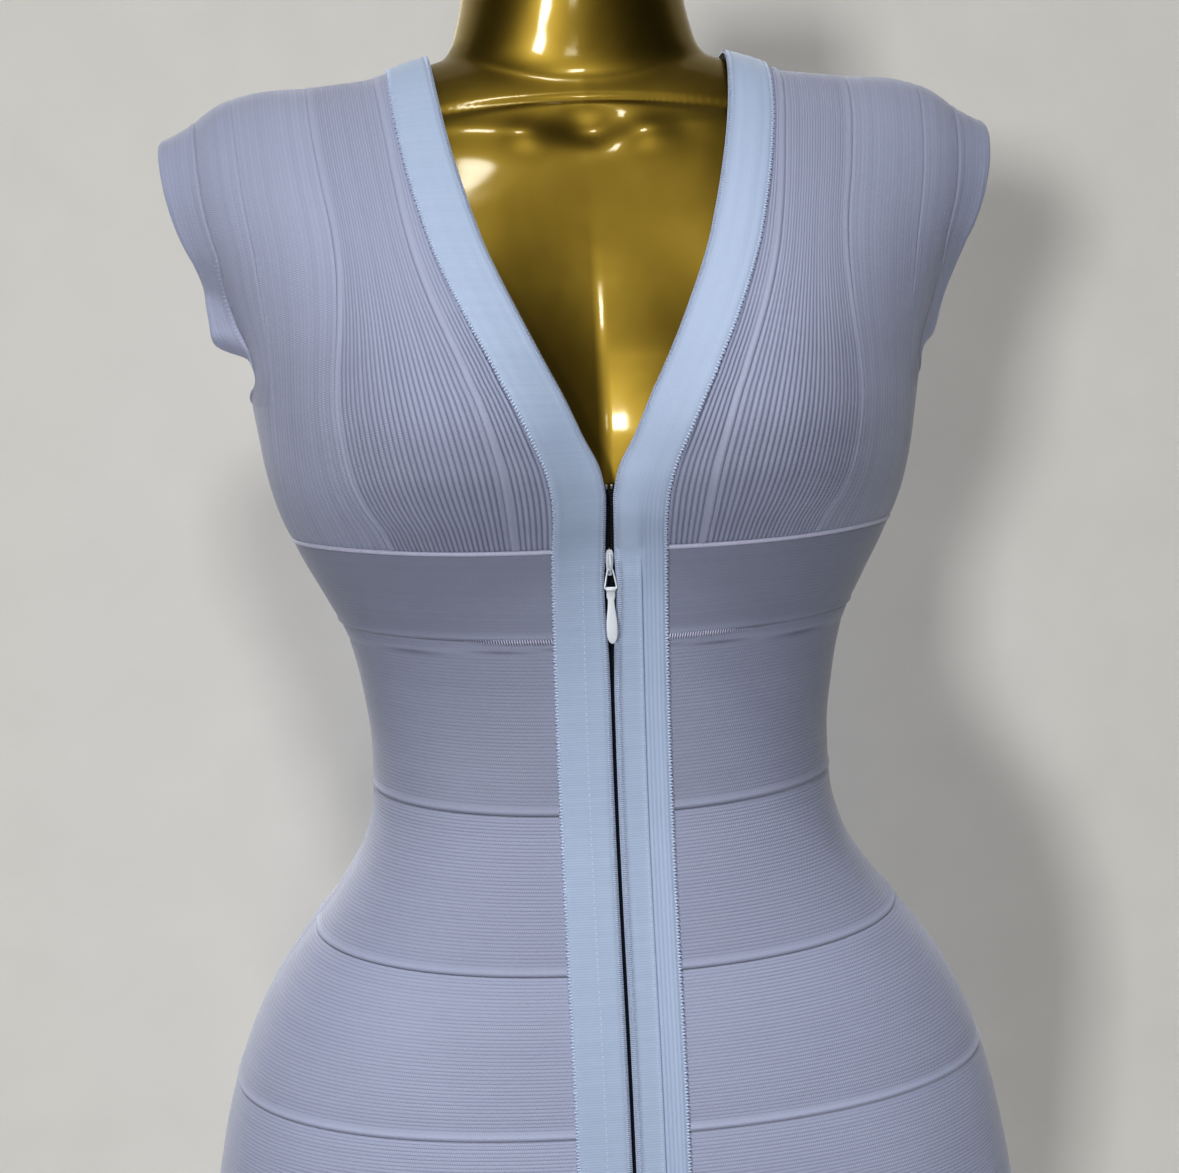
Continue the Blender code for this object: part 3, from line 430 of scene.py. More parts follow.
    def raised(self, points: Grid, rise: Grid) -> Grid:
        """Levels of points, lifted towards the sides and put back on the surface."""
        share = np.abs(points[..., 0]) / self.half_width(points[..., 2])
        share = np.where(points[..., 1] > 0, 1.0, np.clip(share, 0, 1))
        origins = points * np.array([0.0, 0.0, 1.0])
        origins[..., 2] += rise * share ** 2
        return self.cast(origins, unit(points * np.array([1.0, 1.0, 0.0])))

    def front_frame(self, height: float, lift: float) -> Matrix:
        """A frame on the front's middle line: x across, y out, z up the cloth."""
        near = self.at_reach(np.zeros(1), height, 0.0)
        above = self.at_reach(np.zeros(1), height + 0.01, 0.0)[0]
        out = self.normals(near)[0]
        up = above - near[0]
        up = unit(up - out * np.dot(up, out))
        turn = Matrix((Vector(np.cross(out, up)), Vector(out), Vector(up))).transposed()
        return Matrix.Translation(Vector(near[0] + out * lift)) @ turn.to_4x4()


BODY = Body()


def line_at(name: str, path: Grid) -> Grid:
    """A bodice line's distance from the middle, along the path over the shoulder."""
    lengths = np.array([path_of(row.height, row.turn) for row in STATIONS])
    return cubic(lengths, np.array([getattr(row, name) for row in STATIONS]), path)


def path_of(height: float, turn: float) -> float:
    """One length for a height below the fan, or a turn above it."""
    return height + math.radians(turn) * FAN_RADIUS


def height_of(path: Grid) -> Grid:
    """The height part of a path."""
    return np.minimum(path, FAN_HEIGHT)


def turn_of(path: Grid) -> Grid:
    """The turn part of a path, in degrees."""
    return np.degrees(np.maximum(path - FAN_HEIGHT, 0) / FAN_RADIUS)


def on_path(xs: Grid, path: Grid) -> Grid:
    """Points of the front at distances from the middle, along a path."""
    return BODY.at_reach(xs, height_of(path), turn_of(path))


PATH_TOP = path_of(FAN_HEIGHT, SEAM_TURN_END)
LINE_STEPS = 400           # steps of a line that is measured along


# ---------------------------------------------------------------------- finishes
def srgb(code: str) -> Four:
    """Turn an sRGB hex code into a linear colour.

    Args:
        code: Six hex digits, with or without a hash.

    Returns:
        Linear red, green, blue and an alpha of 1.
    """
    code = code.lstrip("#")
    parts = [int(code[i:i + 2], 16) / 255 for i in (0, 2, 4)]
    linear = [c / 12.92 if c <= 0.04045 else ((c + 0.055) / 1.055) ** 2.4 for c in parts]
    return (linear[0], linear[1], linear[2], 1.0)


def node(tree: Tree, kind: str, inputs: Optional[dict] = None,
         **settings: object) -> bpy.types.Node:
    """Add a node with its settings and links.

    Args:
        tree: The material's node tree.
        kind: The node's type name.
        inputs: Socket name or index to a value, or to the output that feeds it.
        settings: Attributes of the node itself.

    Returns:
        The new node.
    """
    made = tree.nodes.new(kind)
    for key, value in settings.items():
        setattr(made, key, value)
    feed(made, inputs or {})
    return made


def feed(made: bpy.types.Node, inputs: dict) -> None:
    """Set a node's inputs to values, or link them to the outputs that feed them."""
    for key, value in inputs.items():
        if isinstance(value, Socket):
            made.id_data.links.new(value, made.inputs[key])
        else:
            made.inputs[key].default_value = value


def sums(tree: Tree, operation: str, *values: object) -> Socket:
    """One step of arithmetic on numbers or outputs, by its operation's name."""
    return node(tree, "ShaderNodeMath", dict(enumerate(values)), operation=operation).outputs[0]


def weighed(tree: Tree, start: float, *terms: tuple) -> Socket:
    """A start with outputs added to it, each times its own weight."""
    total: object = start
    for value, weight in terms:
        total = sums(tree, "ADD", total, sums(tree, "MULTIPLY", value, weight))
    return total


def waves(tree: Tree, count: object) -> Socket:
    """Rounded waves from 0 to 1, one for each whole step of a count."""
    return sums(tree, "ABSOLUTE", sums(tree, "SINE", sums(tree, "MULTIPLY", count, math.pi)))


def noise(tree: Tree, scale: float, detail: float = 2.0) -> Socket:
    """Unevenness fixed to the piece, finer at a higher scale."""
    inputs = {"Vector": own_place(tree), "Scale": scale, "Detail": detail}
    return node(tree, "ShaderNodeTexNoise", inputs).outputs[0]


def own_place(tree: Tree) -> Socket:
    """The piece's own coordinates."""
    return node(tree, "ShaderNodeTexCoord").outputs["Object"]


def bumped(tree: Tree, height: object, distance: float) -> Socket:
    """A relief from a height."""
    return node(tree, "ShaderNodeBump", {"Height": height, "Distance": distance}).outputs[0]


def blended(tree: Tree, share: object, low: object, high: object) -> Socket:
    """Mix two colours by a share from 0 to 1."""
    inputs = {0: share, 6: low, 7: high}
    return node(tree, "ShaderNodeMix", inputs, data_type="RGBA").outputs[2]


def fresh(name: str) -> tuple[bpy.types.Material, Tree, bpy.types.Node]:
    """A new material, its tree and its surface shader."""
    made = bpy.data.materials.new(name)
    made.use_nodes = True
    return made, made.node_tree, made.node_tree.nodes["Principled BSDF"]


@dataclass(frozen=True)
class BandageKnit:
    """Rayon and elastane bandage rib: rounded ribs of silky loops, soft sheen.

    The eye sees parallel ribs, a fine grain of loops across each rib, and a satin
    glow where a panel turns to the light. The furrows' darker colour is painted
    shade laid over their relief, the loop tops carry a little painted highlight,
    and the seam attribute multiplies in painted shade and painted highlights
    along seams and edges.
    """

    name: str = "bandage_knit_rayon"
    loop: str = "#A9AFC7"
    # Painted shade: the colour of the rib furrows, darker than the yarn, stands in for their
    # shade.
    painted_furrow_shade: str = "#5F6480"
    thread: str = "#BBC1D8"
    roughness: float = 0.52
    sheen: float = 0.35
    loop_pitch: float = 1.1 * MM
    rib_depth: float = 0.22 * MM
    loop_depth: float = 0.12 * MM
    fibre_depth: float = 0.05 * MM
    rib_stagger: float = 0.37

    def make(self) -> bpy.types.Material:
        """Build the material from the strip's own length and rib count."""
        made, tree, shader = fresh(self.name)
        uv = node(tree, "ShaderNodeUVMap", uv_map="weave").outputs[0]
        split = node(tree, "ShaderNodeSeparateXYZ", {0: uv}).outputs
        along, ribs = split[0], split[1]
        crown = sums(tree, "POWER", waves(tree, ribs), CROWN_POWER)
        ribbing = node(tree, "ShaderNodeAttribute", attribute_name="ribbing").outputs["Fac"]
        dip = sums(tree, "MULTIPLY", sums(tree, "SUBTRACT", 1.0, crown), ribbing)
        crown = sums(tree, "SUBTRACT", 1.0, dip)
        rib_number = sums(tree, "FLOOR", ribs)
        lean = sums(tree, "ABSOLUTE", sums(tree, "SUBTRACT", sums(tree, "FRACT", ribs), 0.5))
        row = sums(tree, "ADD", sums(tree, "DIVIDE", along, self.loop_pitch), lean)
        loops = waves(tree, sums(tree, "ADD", row,
                                 sums(tree, "MULTIPLY", rib_number, self.rib_stagger)))
        per_rib = node(tree, "ShaderNodeTexWhiteNoise", {"W": rib_number},
                       noise_dimensions="1D").outputs[0]
        cloudy, fibre = noise(tree, 9.0, 3.0), noise(tree, 2200.0)
        # Painted shade and highlight: the colour goes dark in the rib furrows and light on the
        # crowns and loop tops.
        light = weighed(tree, 0.0, (crown, 0.80), (loops, 0.12), (per_rib, 0.10))
        colour = blended(tree, light, srgb(self.painted_furrow_shade), srgb(self.loop))
        colour = blended(tree, sums(tree, "MULTIPLY", fibre, 0.28), colour, srgb(self.thread))
        # The seam attribute multiplies in painted shade and painted highlights along seams and
        # edges.
        seam = node(tree, "ShaderNodeAttribute", attribute_name="seam").outputs["Fac"]
        tone = sums(tree, "MULTIPLY", weighed(tree, 0.92, (cloudy, 0.16)), seam)
        shaded = node(tree, "ShaderNodeVectorMath", {0: colour}, operation="SCALE")
        feed(shaded, {"Scale": tone})
        height = weighed(tree, 0.0, (crown, self.rib_depth), (loops, self.loop_depth),
                         (fibre, self.fibre_depth))
        feed(shader, {"Base Color": shaded.outputs[0], "Normal": bumped(tree, height, 1.0),
                      "Roughness": self.roughness, "Sheen Weight": self.sheen,
                      "Sheen Roughness": 0.35, "Specular IOR Level": 0.4})
        return made


@dataclass(frozen=True)
class Enamel:
    """Baked white enamel on a zinc casting: even, glossy, with soft edges.

    The eye sees a clean pale piece with one sharp highlight.
    """

    name: str = "baked_enamel_white"
    colour: str = "#D9DEE6"
    shade: str = "#B9C0CC"
    roughness: float = 0.22

    def make(self) -> bpy.types.Material:
        """Build the material."""
        made, tree, shader = fresh(self.name)
        ripple = noise(tree, 420.0)
        tint = blended(tree, sums(tree, "MULTIPLY", ripple, 0.25), srgb(self.colour),
                       srgb(self.shade))
        feed(shader, {"Base Color": tint, "Normal": bumped(tree, ripple, 0.02 * MM),
                      "Roughness": self.roughness, "Coat Weight": 0.5})
        return made


@dataclass(frozen=True)
class GoldLacquer:
    """Metallised gold lacquer on moulded plastic: mirror-like with a faint ripple.

    The eye sees the room in it, warm and dark, with bright soft bars of light.
    """

    name: str = "gold_lacquer_polished"
    colour: str = "#94803C"
    shade: str = "#6E5C26"
    roughness: float = 0.45

    def make(self) -> bpy.types.Material:
        """Build the material."""
        made, tree, shader = fresh(self.name)
        ripple, speck = noise(tree, 26.0), noise(tree, 900.0)
        tint = blended(tree, sums(tree, "MULTIPLY", ripple, 0.3), srgb(self.colour),
                       srgb(self.shade))
        relief = bumped(tree, ripple, 0.5 * MM)
        feed(shader, {"Base Color": tint, "Metallic": 1.0,
                      "Roughness": weighed(tree, self.roughness - 0.01, (speck, 0.02)),
                      "Normal": relief, "Coat Normal": relief,
                      "Coat Weight": 0.45, "Coat Roughness": 0.11})
        return made


@dataclass(frozen=True)
class BrushedSteel:
    """Satin steel tube and plate, brushed round: grey with fine streaks."""

    name: str = "satin_steel_brushed"
    colour: str = "#B9BABC"
    shade: str = "#9B9CA0"
    roughness: float = 0.30

    def make(self) -> bpy.types.Material:
        """Build the material."""
        made, tree, shader = fresh(self.name)
        stretched = node(tree, "ShaderNodeMapping",
                         {0: own_place(tree), 3: (300.0, 300.0, 8.0)}).outputs[0]
        streak = node(tree, "ShaderNodeTexNoise",
                      {"Vector": stretched, "Scale": 5.0, "Detail": 3.0}).outputs[0]
        feed(shader, {"Base Color": blended(tree, streak, srgb(self.shade), srgb(self.colour)),
                      "Roughness": weighed(tree, self.roughness - 0.06, (streak, 0.12)),
                      "Metallic": 1.0})
        return made


@dataclass(frozen=True)
class Plain:
    """A plain finish with a slight unevenness, for coil, thread, tape and walls."""

    name: str
    colour: str
    shade: str
    roughness: float
    grain: float = 900.0
    relief: float = 0.05 * MM
    sheen: float = 0.0
    floor: str = ""
    one_sided: bool = False

    def make(self) -> bpy.types.Material:
        """Build the material, with the floor colour at its foot if it has one."""
        made, tree, shader = fresh(self.name)
        grain = noise(tree, self.grain, 3.0)
        tint = blended(tree, grain, srgb(self.shade), srgb(self.colour))
        if self.floor:
            height = node(tree, "ShaderNodeSeparateXYZ", {0: own_place(tree)}).outputs[2]
            tint = blended(tree, sums(tree, "MULTIPLY", height, 1.0 / FLOOR_FADE),
                           srgb(self.floor), tint)
        feed(shader, {"Base Color": tint, "Normal": bumped(tree, grain, self.relief),
                      "Roughness": self.roughness, "Sheen Weight": self.sheen})
        if self.one_sided:
            behind = node(tree, "ShaderNodeNewGeometry").outputs["Backfacing"]
            clear = node(tree, "ShaderNodeBsdfTransparent").outputs[0]
            mix = node(tree, "ShaderNodeMixShader", {0: behind, 1: shader.outputs[0], 2: clear})
            end = next(n for n in tree.nodes if n.type == "OUTPUT_MATERIAL")
            feed(end, {"Surface": mix.outputs[0]})
        return made


class Finish(Enum):
    """Every finish on the dress, its form and the room."""

    # The colours given for the rib furrows are painted shade.
    KNIT = BandageKnit()
    FINE_KNIT = BandageKnit(name="bandage_knit_fine", painted_furrow_shade="#8C91AD", rib_depth=0.20 * MM,
                            loop_depth=0.10 * MM)
    PIPING = Plain("rolled_knit_edge", "#D3D4E8", "#B4B6D0", 0.6, sheen=0.3)
    CROSS_BAND = BandageKnit(
        name="band_knit_cross_ribbed", loop="#B2C2DB", painted_furrow_shade="#8B9ABB", thread="#C5D0E6",
        roughness=0.55, rib_depth=0.16 * MM, loop_depth=0.10 * MM, loop_pitch=0.9 * MM)
    LONG_BAND = BandageKnit(
        name="band_knit_long_ribbed", loop="#B1C0DA", painted_furrow_shade="#9AA9C8", thread="#C5D0E6",
        roughness=0.55, rib_depth=0.07 * MM, loop_depth=0.08 * MM, loop_pitch=0.9 * MM)
    ENAMEL = Enamel()
    GOLD = GoldLacquer()
    STEEL = BrushedSteel()
    COIL = Plain("nylon_coil_dark", "#2C3448", "#141926", 0.45)
    TAPE = Plain("zip_tape_woven", "#1B2232", "#0C101A", 0.8)
    THREAD = Plain("overlock_thread", "#DAE4F6", "#A9B7D6", 0.6, sheen=0.3)
    WALL = Plain("painted_board", "#E8E7E4", "#E0DFDC", 0.85, grain=14.0, relief=0.2 * MM,
                 floor="#B2B1AF", one_sided=True)


MATERIALS: dict[str, bpy.types.Material] = {}


def dressed(finish: Finish) -> bpy.types.Material:
    """The material of a finish, made once."""
    if finish.name not in MATERIALS:
        MATERIALS[finish.name] = finish.value.make()
    return MATERIALS[finish.name]


# ------------------------------------------------------------------ making pieces
@dataclass
class Skin:
    """A grid of cloth: points on the body, with its own directions and painted shading."""

    points: Grid
    normals: Grid
    outer: Grid
    inner: Grid
    ribs: Grid
    along: Grid
    # Painted shade and painted highlights along seams and edges, multiplied into the colour.
    shade: Grid
    closed: bool = False
    ribbing: Grid | float = 1.0


def lengths_along(points: Grid, axis: int) -> Grid:
    """The length from the first row or column to each point of a grid."""
    steps = np.linalg.norm(np.diff(points, axis=axis), axis=2)
    total = np.cumsum(steps, axis=axis)
    pad = [(0, 0), (0, 0)]
    pad[axis] = (1, 0)
    return np.pad(total, pad)


def run_of(line: Grid) -> Grid:
    """The length from a line's first point to each of its points."""
    return lengths_along(line[:, None], 0)[:, 0]


def at_lengths(line: Grid, length: Grid, wanted: Grid) -> Grid:
    """The places on a line at the wanted lengths along it."""
    return np.stack([np.interp(wanted, length, line[:, k]) for k in range(3)], axis=-1)


def to_edges(points: Grid) -> tuple[Grid, Grid, Grid, Grid]:
    """Distances of each point from the grid's first and last rows and columns."""
    down, across = lengths_along(points, 0), lengths_along(points, 1)
    return down, down[-1:] - down, across, across[:, -1:] - across


def add_piece(name: str, mesh: Mesh, finish: Finish,
              body: str = GARMENT) -> Object:
    """Put a mesh in the scene as one piece of the part.

    Args:
        name: The piece's name.
        mesh: Its mesh.
        finish: Its finish.
        body: The body that it rides on.

    Returns:
        The new object.
    """
    mesh.materials.clear()
    mesh.materials.append(dressed(finish))
    piece = bpy.data.objects.new(name, mesh)
    bpy.context.scene.collection.objects.link(piece)
    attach(piece, body)
    return piece


def mesh_of(name: str, verts: Grid, faces: Sequence, sharp: float = 180.0) -> Mesh:
    """A smooth mesh from points and faces, with edges sharp beyond an angle in degrees."""
    mesh = bpy.data.meshes.new(name)
    mesh.from_pydata(np.asarray(verts).tolist(), [], faces)
    return smoothed(mesh, sharp)


def smoothed(mesh: Mesh, sharp: float = 180.0,
             build: Optional[Build] = None) -> Mesh:
    """Smooth a mesh, after it has taken a finished bmesh if there is one."""
    if build:
        build.to_mesh(mesh)
        build.free()
    mesh.shade_smooth()
    if sharp < 180.0:
        mesh.set_sharp_from_angle(angle=math.radians(sharp))
    return mesh


def shell(name: str, skin: Skin) -> Mesh:
    """A closed shell of cloth between its inner and outer sheets.

    Args:
        name: The mesh's name.
        skin: The grid with its lifts, rib count, length and shading.

    Returns:
        The mesh, with its weave map and its seam shading.
    """
    rows, cols = skin.points.shape[:2]
    above = skin.points + skin.normals * skin.outer[..., None]
    below = skin.points + skin.normals * skin.inner[..., None]
    verts = np.concatenate([above.reshape(-1, 3), below.reshape(-1, 3)])
    index = np.arange(rows * cols).reshape(rows, cols)
    if skin.closed:
        index = np.concatenate([index, index[:1]])
    a, b = index[:-1, :-1].ravel(), index[1:, :-1].ravel()
    c, d = index[1:, 1:].ravel(), index[:-1, 1:].ravel()
    low = rows * cols
    quads = [np.stack([a, b, c, d], 1), np.stack([a, d, c, b], 1) + low]
    edges = [index[:, 0], index[::-1, -1]]
    if not skin.closed:
        edges += [index[0, ::-1], index[-1]]
    for edge in edges:
        near, far = edge[:-1], edge[1:]
        quads.append(np.stack([near, near + low, far + low, far], 1))
    faces = np.concatenate(quads)
    lean = np.cross(above[1, 0] - above[0, 0], above[0, 1] - above[0, 0])
    if np.dot(lean, skin.normals[0, 0]) < 0:
        faces = faces[:, ::-1]
    mesh = mesh_of(name, verts, faces.tolist(), FOLD_ANGLE)
    weave = np.tile(np.stack([skin.along.ravel(), skin.ribs.ravel()], 1), (2, 1))
    mesh.uv_layers.new(name="weave").data.foreach_set("uv", weave[faces.ravel()].ravel())
    # The seam attribute carries the painted shade and highlights; ribbing is the ribs' strength.
    for key, values in (("seam", skin.shade), ("ribbing", skin.ribbing)):
        layer = mesh.attributes.new(key, "FLOAT", "POINT")
        values = np.broadcast_to(values, (rows, cols))
        layer.data.foreach_set("value", np.tile(values.ravel(), 2))
    return mesh


def cloth(name: str, skin: Skin, finish: Finish, nodes: Sequence[str],
          wales_across: bool = True) -> Object:
    """Make one strip of cloth, log its cut size and let it stand for its solid.

    Args:
        name: The piece's name.
        skin: Its grid.
        finish: Its finish.
        nodes: The solids that it stands for.
        wales_across: Whether the strip runs across the grid's rows.

    Returns:
        The new piece.
    """
    piece = add_piece(name, shell(name, skin), finish)
    down = lengths_along(skin.points, 0)[-1].max()
    across = lengths_along(skin.points, 1)[:, -1].max()
    if skin.closed:
        down += np.linalg.norm(skin.points[0] - skin.points[-1], axis=1).max()
    length, width = (across, down) if wales_across else (down, across)
    length /= WORN_STRETCH
    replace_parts(piece, *nodes)
    log.info("%s: cut %.0f x %.0f mm", name, width * 1000, length * 1000)
    return piece


RIDGE_RISE = 0.35 * MM     # the ridges along the bands' edges
LAYER_LIFT = KNIT + BAND_KNIT + 2 * LAYER_GAP + RIDGE_RISE

# Painted shade and painted light: in front, the rows under the bust are darkened where the bust's
# shadow falls, and the hip rows are a little lighter.
ROW_PAINTED_LIGHT_AND_SHADE = {0: 0.72, 1: 0.81, 2: 0.92, 4: 1.03, 5: 1.03}
ROW_RIBS = {0: 0.30, 1: 0.60}
OTHER_ROW_RIBS = 0.8


@dataclass
class StripRows:
    """The straight strips round the body below the bust, three pieces a row."""

    levels: int = 34
    front_columns: int = 56
    back_columns: int = 72
    crowding: float = 0.11
    plump: float = 0.45 * MM
    head_rise: Marks = (Mark(-0.45, 0.0, 1.0),)
    foot_rise: Marks = (Mark(0.75, 1.9, 1.5), Mark(-0.45, 0.0, 0.6))
    side_rise: Marks = (Mark(-0.5, 0.0, 1.6),)
    # Painted shade along the seam lines and a painted highlight on the welt above each.
    head_painted_shade: Marks = (Mark(-0.10, 0.0, 0.9),)
    foot_painted_shading: Marks = (Mark(-0.42, 0.0, 0.5), Mark(0.07, 1.9, 1.2))
    second_line: Pair = (3.2 * MM, 7.0 * MM)
    line_rise: Marks = (Mark(-0.4, 0.0, 0.6),)
    # Painted shade in the second line and a painted highlight just above it.
    line_painted_shading: Marks = (Mark(-0.30, 0.0, 0.5), Mark(0.08, -1.6, 1.2))
    line_ribs: Marks = (Mark(1.0, -1.0, 2.0),)
    foot_plain: Pair = (3.0 * MM, 5.5 * MM)
    head_plain: Pair = (0.3 * MM, 1.5 * MM)
    # Where the painted shade under the bust fades out towards the side seam.
    painted_shade_fade: Pair = (0.75, 1.0)

    def spread(self, steps: int) -> Grid:
        """Shares from 0 to 1, closer together at both ends."""
        share = np.linspace(0, 1, steps + 1)
        return share - self.crowding * np.sin(2 * math.pi * share)

    def heights(self, index: int) -> tuple[Grid, Grid]:
        """The heights and rises of a row's levels, a seam gap short at each end."""
        above, below = ROW_SEAMS[index:index + 2]
        share = self.spread(self.levels)
        top, bottom = above.height - SEAM_GAP / 2, below.height + SEAM_GAP / 2
        return (top + (bottom - top) * share, above.rise + (below.rise - above.rise) * share)

    def skin(self, points: Grid, index: int, front: bool) -> Skin:
        """Give a row's grid its plump middle, its welts, and its painted shade and highlights."""
        down, up, left, right = to_edges(points)
        share = down / (down + up)
        across = left / (left + right)
        outer = KNIT + self.plump * np.sin(math.pi * share) ** CROWN_POWER + MM * (
            marks(down, self.head_rise) + marks(up, self.foot_rise)
            + marks(right, self.side_rise) + (0 if front else marks(left, self.side_rise)))
        count = round(float((down + up).mean()) / ROW_RIB_PITCH)
        # Painted shade along the seam lines and a painted highlight on the welt.
        shade = 1.0 + marks(down, self.head_painted_shade) + marks(up, self.foot_painted_shading)
        # Painted shade under the bust and painted light on the hips, fading out towards the side
        # seam.
        tone = ROW_PAINTED_LIGHT_AND_SHADE.get(index, 1.0) if front else 1.0
        shade = shade * (tone + (1.0 - tone) * ease(across, *self.painted_shade_fade))
        ribbing = ease(up, *self.foot_plain) * ease(down, *self.head_plain)
        if index == 1 and front:
            near, more = self.second_line
            line = down - near - more * across
            outer = outer + MM * marks(line, self.line_rise)
            shade = shade + marks(line, self.line_painted_shading)
            ribbing = ribbing * (1.0 - marks(line, self.line_ribs))
        ribbing = ribbing * ROW_RIBS.get(index, OTHER_ROW_RIBS)
        return Skin(points, BODY.normals(points), outer, 0 * outer, share * count, left, shade,
                    ribbing=ribbing)

    def front(self, index: int) -> Grid:
        """The right front panel's points, from the zip to the side seam."""
        z, rise = self.heights(index)
        first = BODY.side_angle(np.full_like(z, CHAIN_EDGE), z)
        last = 90 - np.degrees(SEAM_GAP / 2 / BODY.half_width(z))
        share = self.spread(self.front_columns)
        angles = first[:, None] + (last - first)[:, None] * share[None]
        points = BODY.at_angle(angles, z[:, None])
        return BODY.raised(points, rise[:, None] + 0 * angles)

    def back(self, index: int) -> Grid:
        """The back panel's points, from side seam to side seam."""
        z, rise = self.heights(index)
        seam = np.degrees(SEAM_GAP / 2 / BODY.half_width(z))
        share = self.spread(self.back_columns)
        angles = (90 + seam)[:, None] + (180 - 2 * seam)[:, None] * share[None]
        return BODY.at_angle(angles, (z + rise)[:, None])

    def build(self) -> None:
        """Make every row: front right, front left and back."""
        for index, name in enumerate(ROW_NAMES):
            skin = self.skin(self.front(index), index, True)
            for side, piece in both(skin):
                cloth(f"{name}_knit_{side}", piece, Finish.FINE_KNIT,
                      [f"{name}_front_{side}"])
            cloth(name + "_knit_back", self.skin(self.back(index), index, False),
                  Finish.FINE_KNIT, [name + "_back"])


def mirrored(skin: Skin) -> Skin:
    """The same skin on the other side of the body."""
    return replace(skin, points=skin.points * MIRROR, normals=skin.normals * MIRROR)


def both(skin: Skin) -> tuple[tuple[str, Skin], ...]:
    """A right skin and its mirror image, each with its side's name."""
    return ("right", skin), ("left", mirrored(skin))


class StripCut(NamedTuple):
    """One bodice strip: its two lines, its ribs and how strong ribs and seams are."""

    name: str
    start: str
    end: str
    ribs: int
    relief: float
    seam: float


@dataclass
class Bodice:
    """Shaped strips over the bust and shoulders, and three plain ones behind."""

    rows: int = 120
    back_rows: int = 30
    back_columns: int = 96
    plump: float = 0.35 * MM
    rib_height: float = 0.34 * MM
    rib_columns: int = 5
    strong_below: float = 1.22
    strong_fade: float = 0.10
    strong_loss: float = 0.55
    near_plain: Pair = (0.4 * MM, 2.2 * MM)
    far_plain: Pair = (2.8 * MM, 4.6 * MM)
    seam_fade: Pair = (1.27, 1.34)
    side_seam_turn: float = 0.06
    seam_rise: Marks = (Mark(-0.35, 0.0, 0.8),)
    seam_rise_far: Marks = (Mark(-0.35, 0.0, 0.5),)
    # Painted shade along the seams and painted highlights on the welts and at the foot.
    seam_painted_shade: Marks = (Mark(-0.10, 0.0, 0.8),)
    seam_painted_shade_far: Marks = (Mark(-0.32, 0.0, 0.5),)
    welt_rise: Marks = (Mark(0.45, 1.7, 1.3),)
    welt_painted_highlight: Marks = (Mark(0.04, 1.8, 1.3),)
    foot_rise: Marks = (Mark(-0.7, 0.0, 1.6),)
    foot_painted_shading: Marks = (Mark(-0.35, 0.0, 1.4),)
    back_rise: Marks = (Mark(-0.35, 0.0, 1.5),)
    back_painted_shade: Marks = (Mark(-0.3, 0.0, 1.2),)
    cuts: tuple[StripCut, ...] = (
        StripCut("strip_a", "outer", "seam_1", 10, 1.0, 1.0),
        StripCut("strip_b", "seam_1", "seam_2", 26, 1.0, 0.9),
        StripCut("strip_c", "seam_2", "seam_3", 20, 0.40, 0.45),
        StripCut("strip_d", "seam_3", "side", 12, 0.35, 0.8),
    )

    def column_xs(self, path: Grid, first: Grid, last: Grid, share: Grid) -> Grid:
        """Distances from the middle across a strip, evenly turned round the body."""
        half = BODY.half_width(height_of(path))
        start = np.arcsin(np.clip(first / half, -1, 1))
        end = np.arcsin(np.clip(last / half, -1, 1))
        return half[:, None] * np.sin(start[:, None] + (end - start)[:, None] * share[None])

    def front_points(self, cut: StripCut) -> Grid:
        """The right strip's points, from the underbust over the shoulder."""
        gap = SEAM_GAP / 2
        path = np.linspace(UNDERBUST + gap, PATH_TOP, self.rows + 1)
        first, last = line_at(cut.start, path), line_at(cut.end, path)
        first = first - BAND_TUCK if cut.name == "strip_a" else first + gap
        last = last - gap
        if cut.name == "strip_d":
            half = BODY.half_width(height_of(path))
            side_seam = half * math.cos(math.radians(self.side_seam_turn))
            last = np.where(path < UNDERARM, side_seam, last)
        columns = cut.ribs * self.rib_columns
        xs = self.column_xs(path, first, last, np.linspace(0, 1, columns + 1))
        points = on_path(xs, path[:, None])
        low = 1.0 - np.clip((path - UNDERBUST) / (STATIONS[1].height - UNDERBUST), 0, 1)
        low_rows = low > 0
        rise = ROW_SEAMS[0].rise * low[low_rows][:, None] + 0 * xs[low_rows]
        points[low_rows] = BODY.raised(points[low_rows], rise)
        return points

    def front_skin(self, cut: StripCut) -> Skin:
        """A bodice strip with a welt along each seam."""
        points = self.front_points(cut)
        low, _, left, right = to_edges(points)
        rows, cols = points.shape[:2]
        even = np.broadcast_to(np.linspace(0, 1, cols), (rows, cols))
        strong = 1.0 - self.strong_loss * ease(points[..., 2], self.strong_below,
                                               self.strong_below + self.strong_fade)
        ribbing = cut.relief * strong
        if cut.name != "strip_a":
            ribbing = ribbing * ease(left, *self.near_plain)
        if cut.name != "strip_d":
            ribbing = ribbing * ease(right, *self.far_plain)
        ribs = even * cut.ribs
        crown = np.abs(np.sin(math.pi * ribs)) ** CROWN_POWER
        outer = KNIT + self.plump * np.sin(math.pi * even) ** CROWN_POWER
        outer = outer - self.rib_height * ribbing * (1.0 - crown)
        plain = cut.seam * (1.0 - 0.5 * ease(points[..., 2], *self.seam_fade))
        outer = outer + MM * (0.3 + 0.7 * plain) * (
            marks(left, self.seam_rise) + marks(right, self.seam_rise_far))
        # Painted shade along both seams of the strip.
        shade = 1.0 + plain * (marks(left, self.seam_painted_shade) + marks(right, self.seam_painted_shade_far))
        if cut.name != "strip_d":
            outer = outer + MM * plain * marks(right, self.welt_rise)
            # Painted highlight on the welt.
            shade = shade + plain * marks(right, self.welt_painted_highlight)
        outer = outer + MM * marks(low, self.foot_rise)
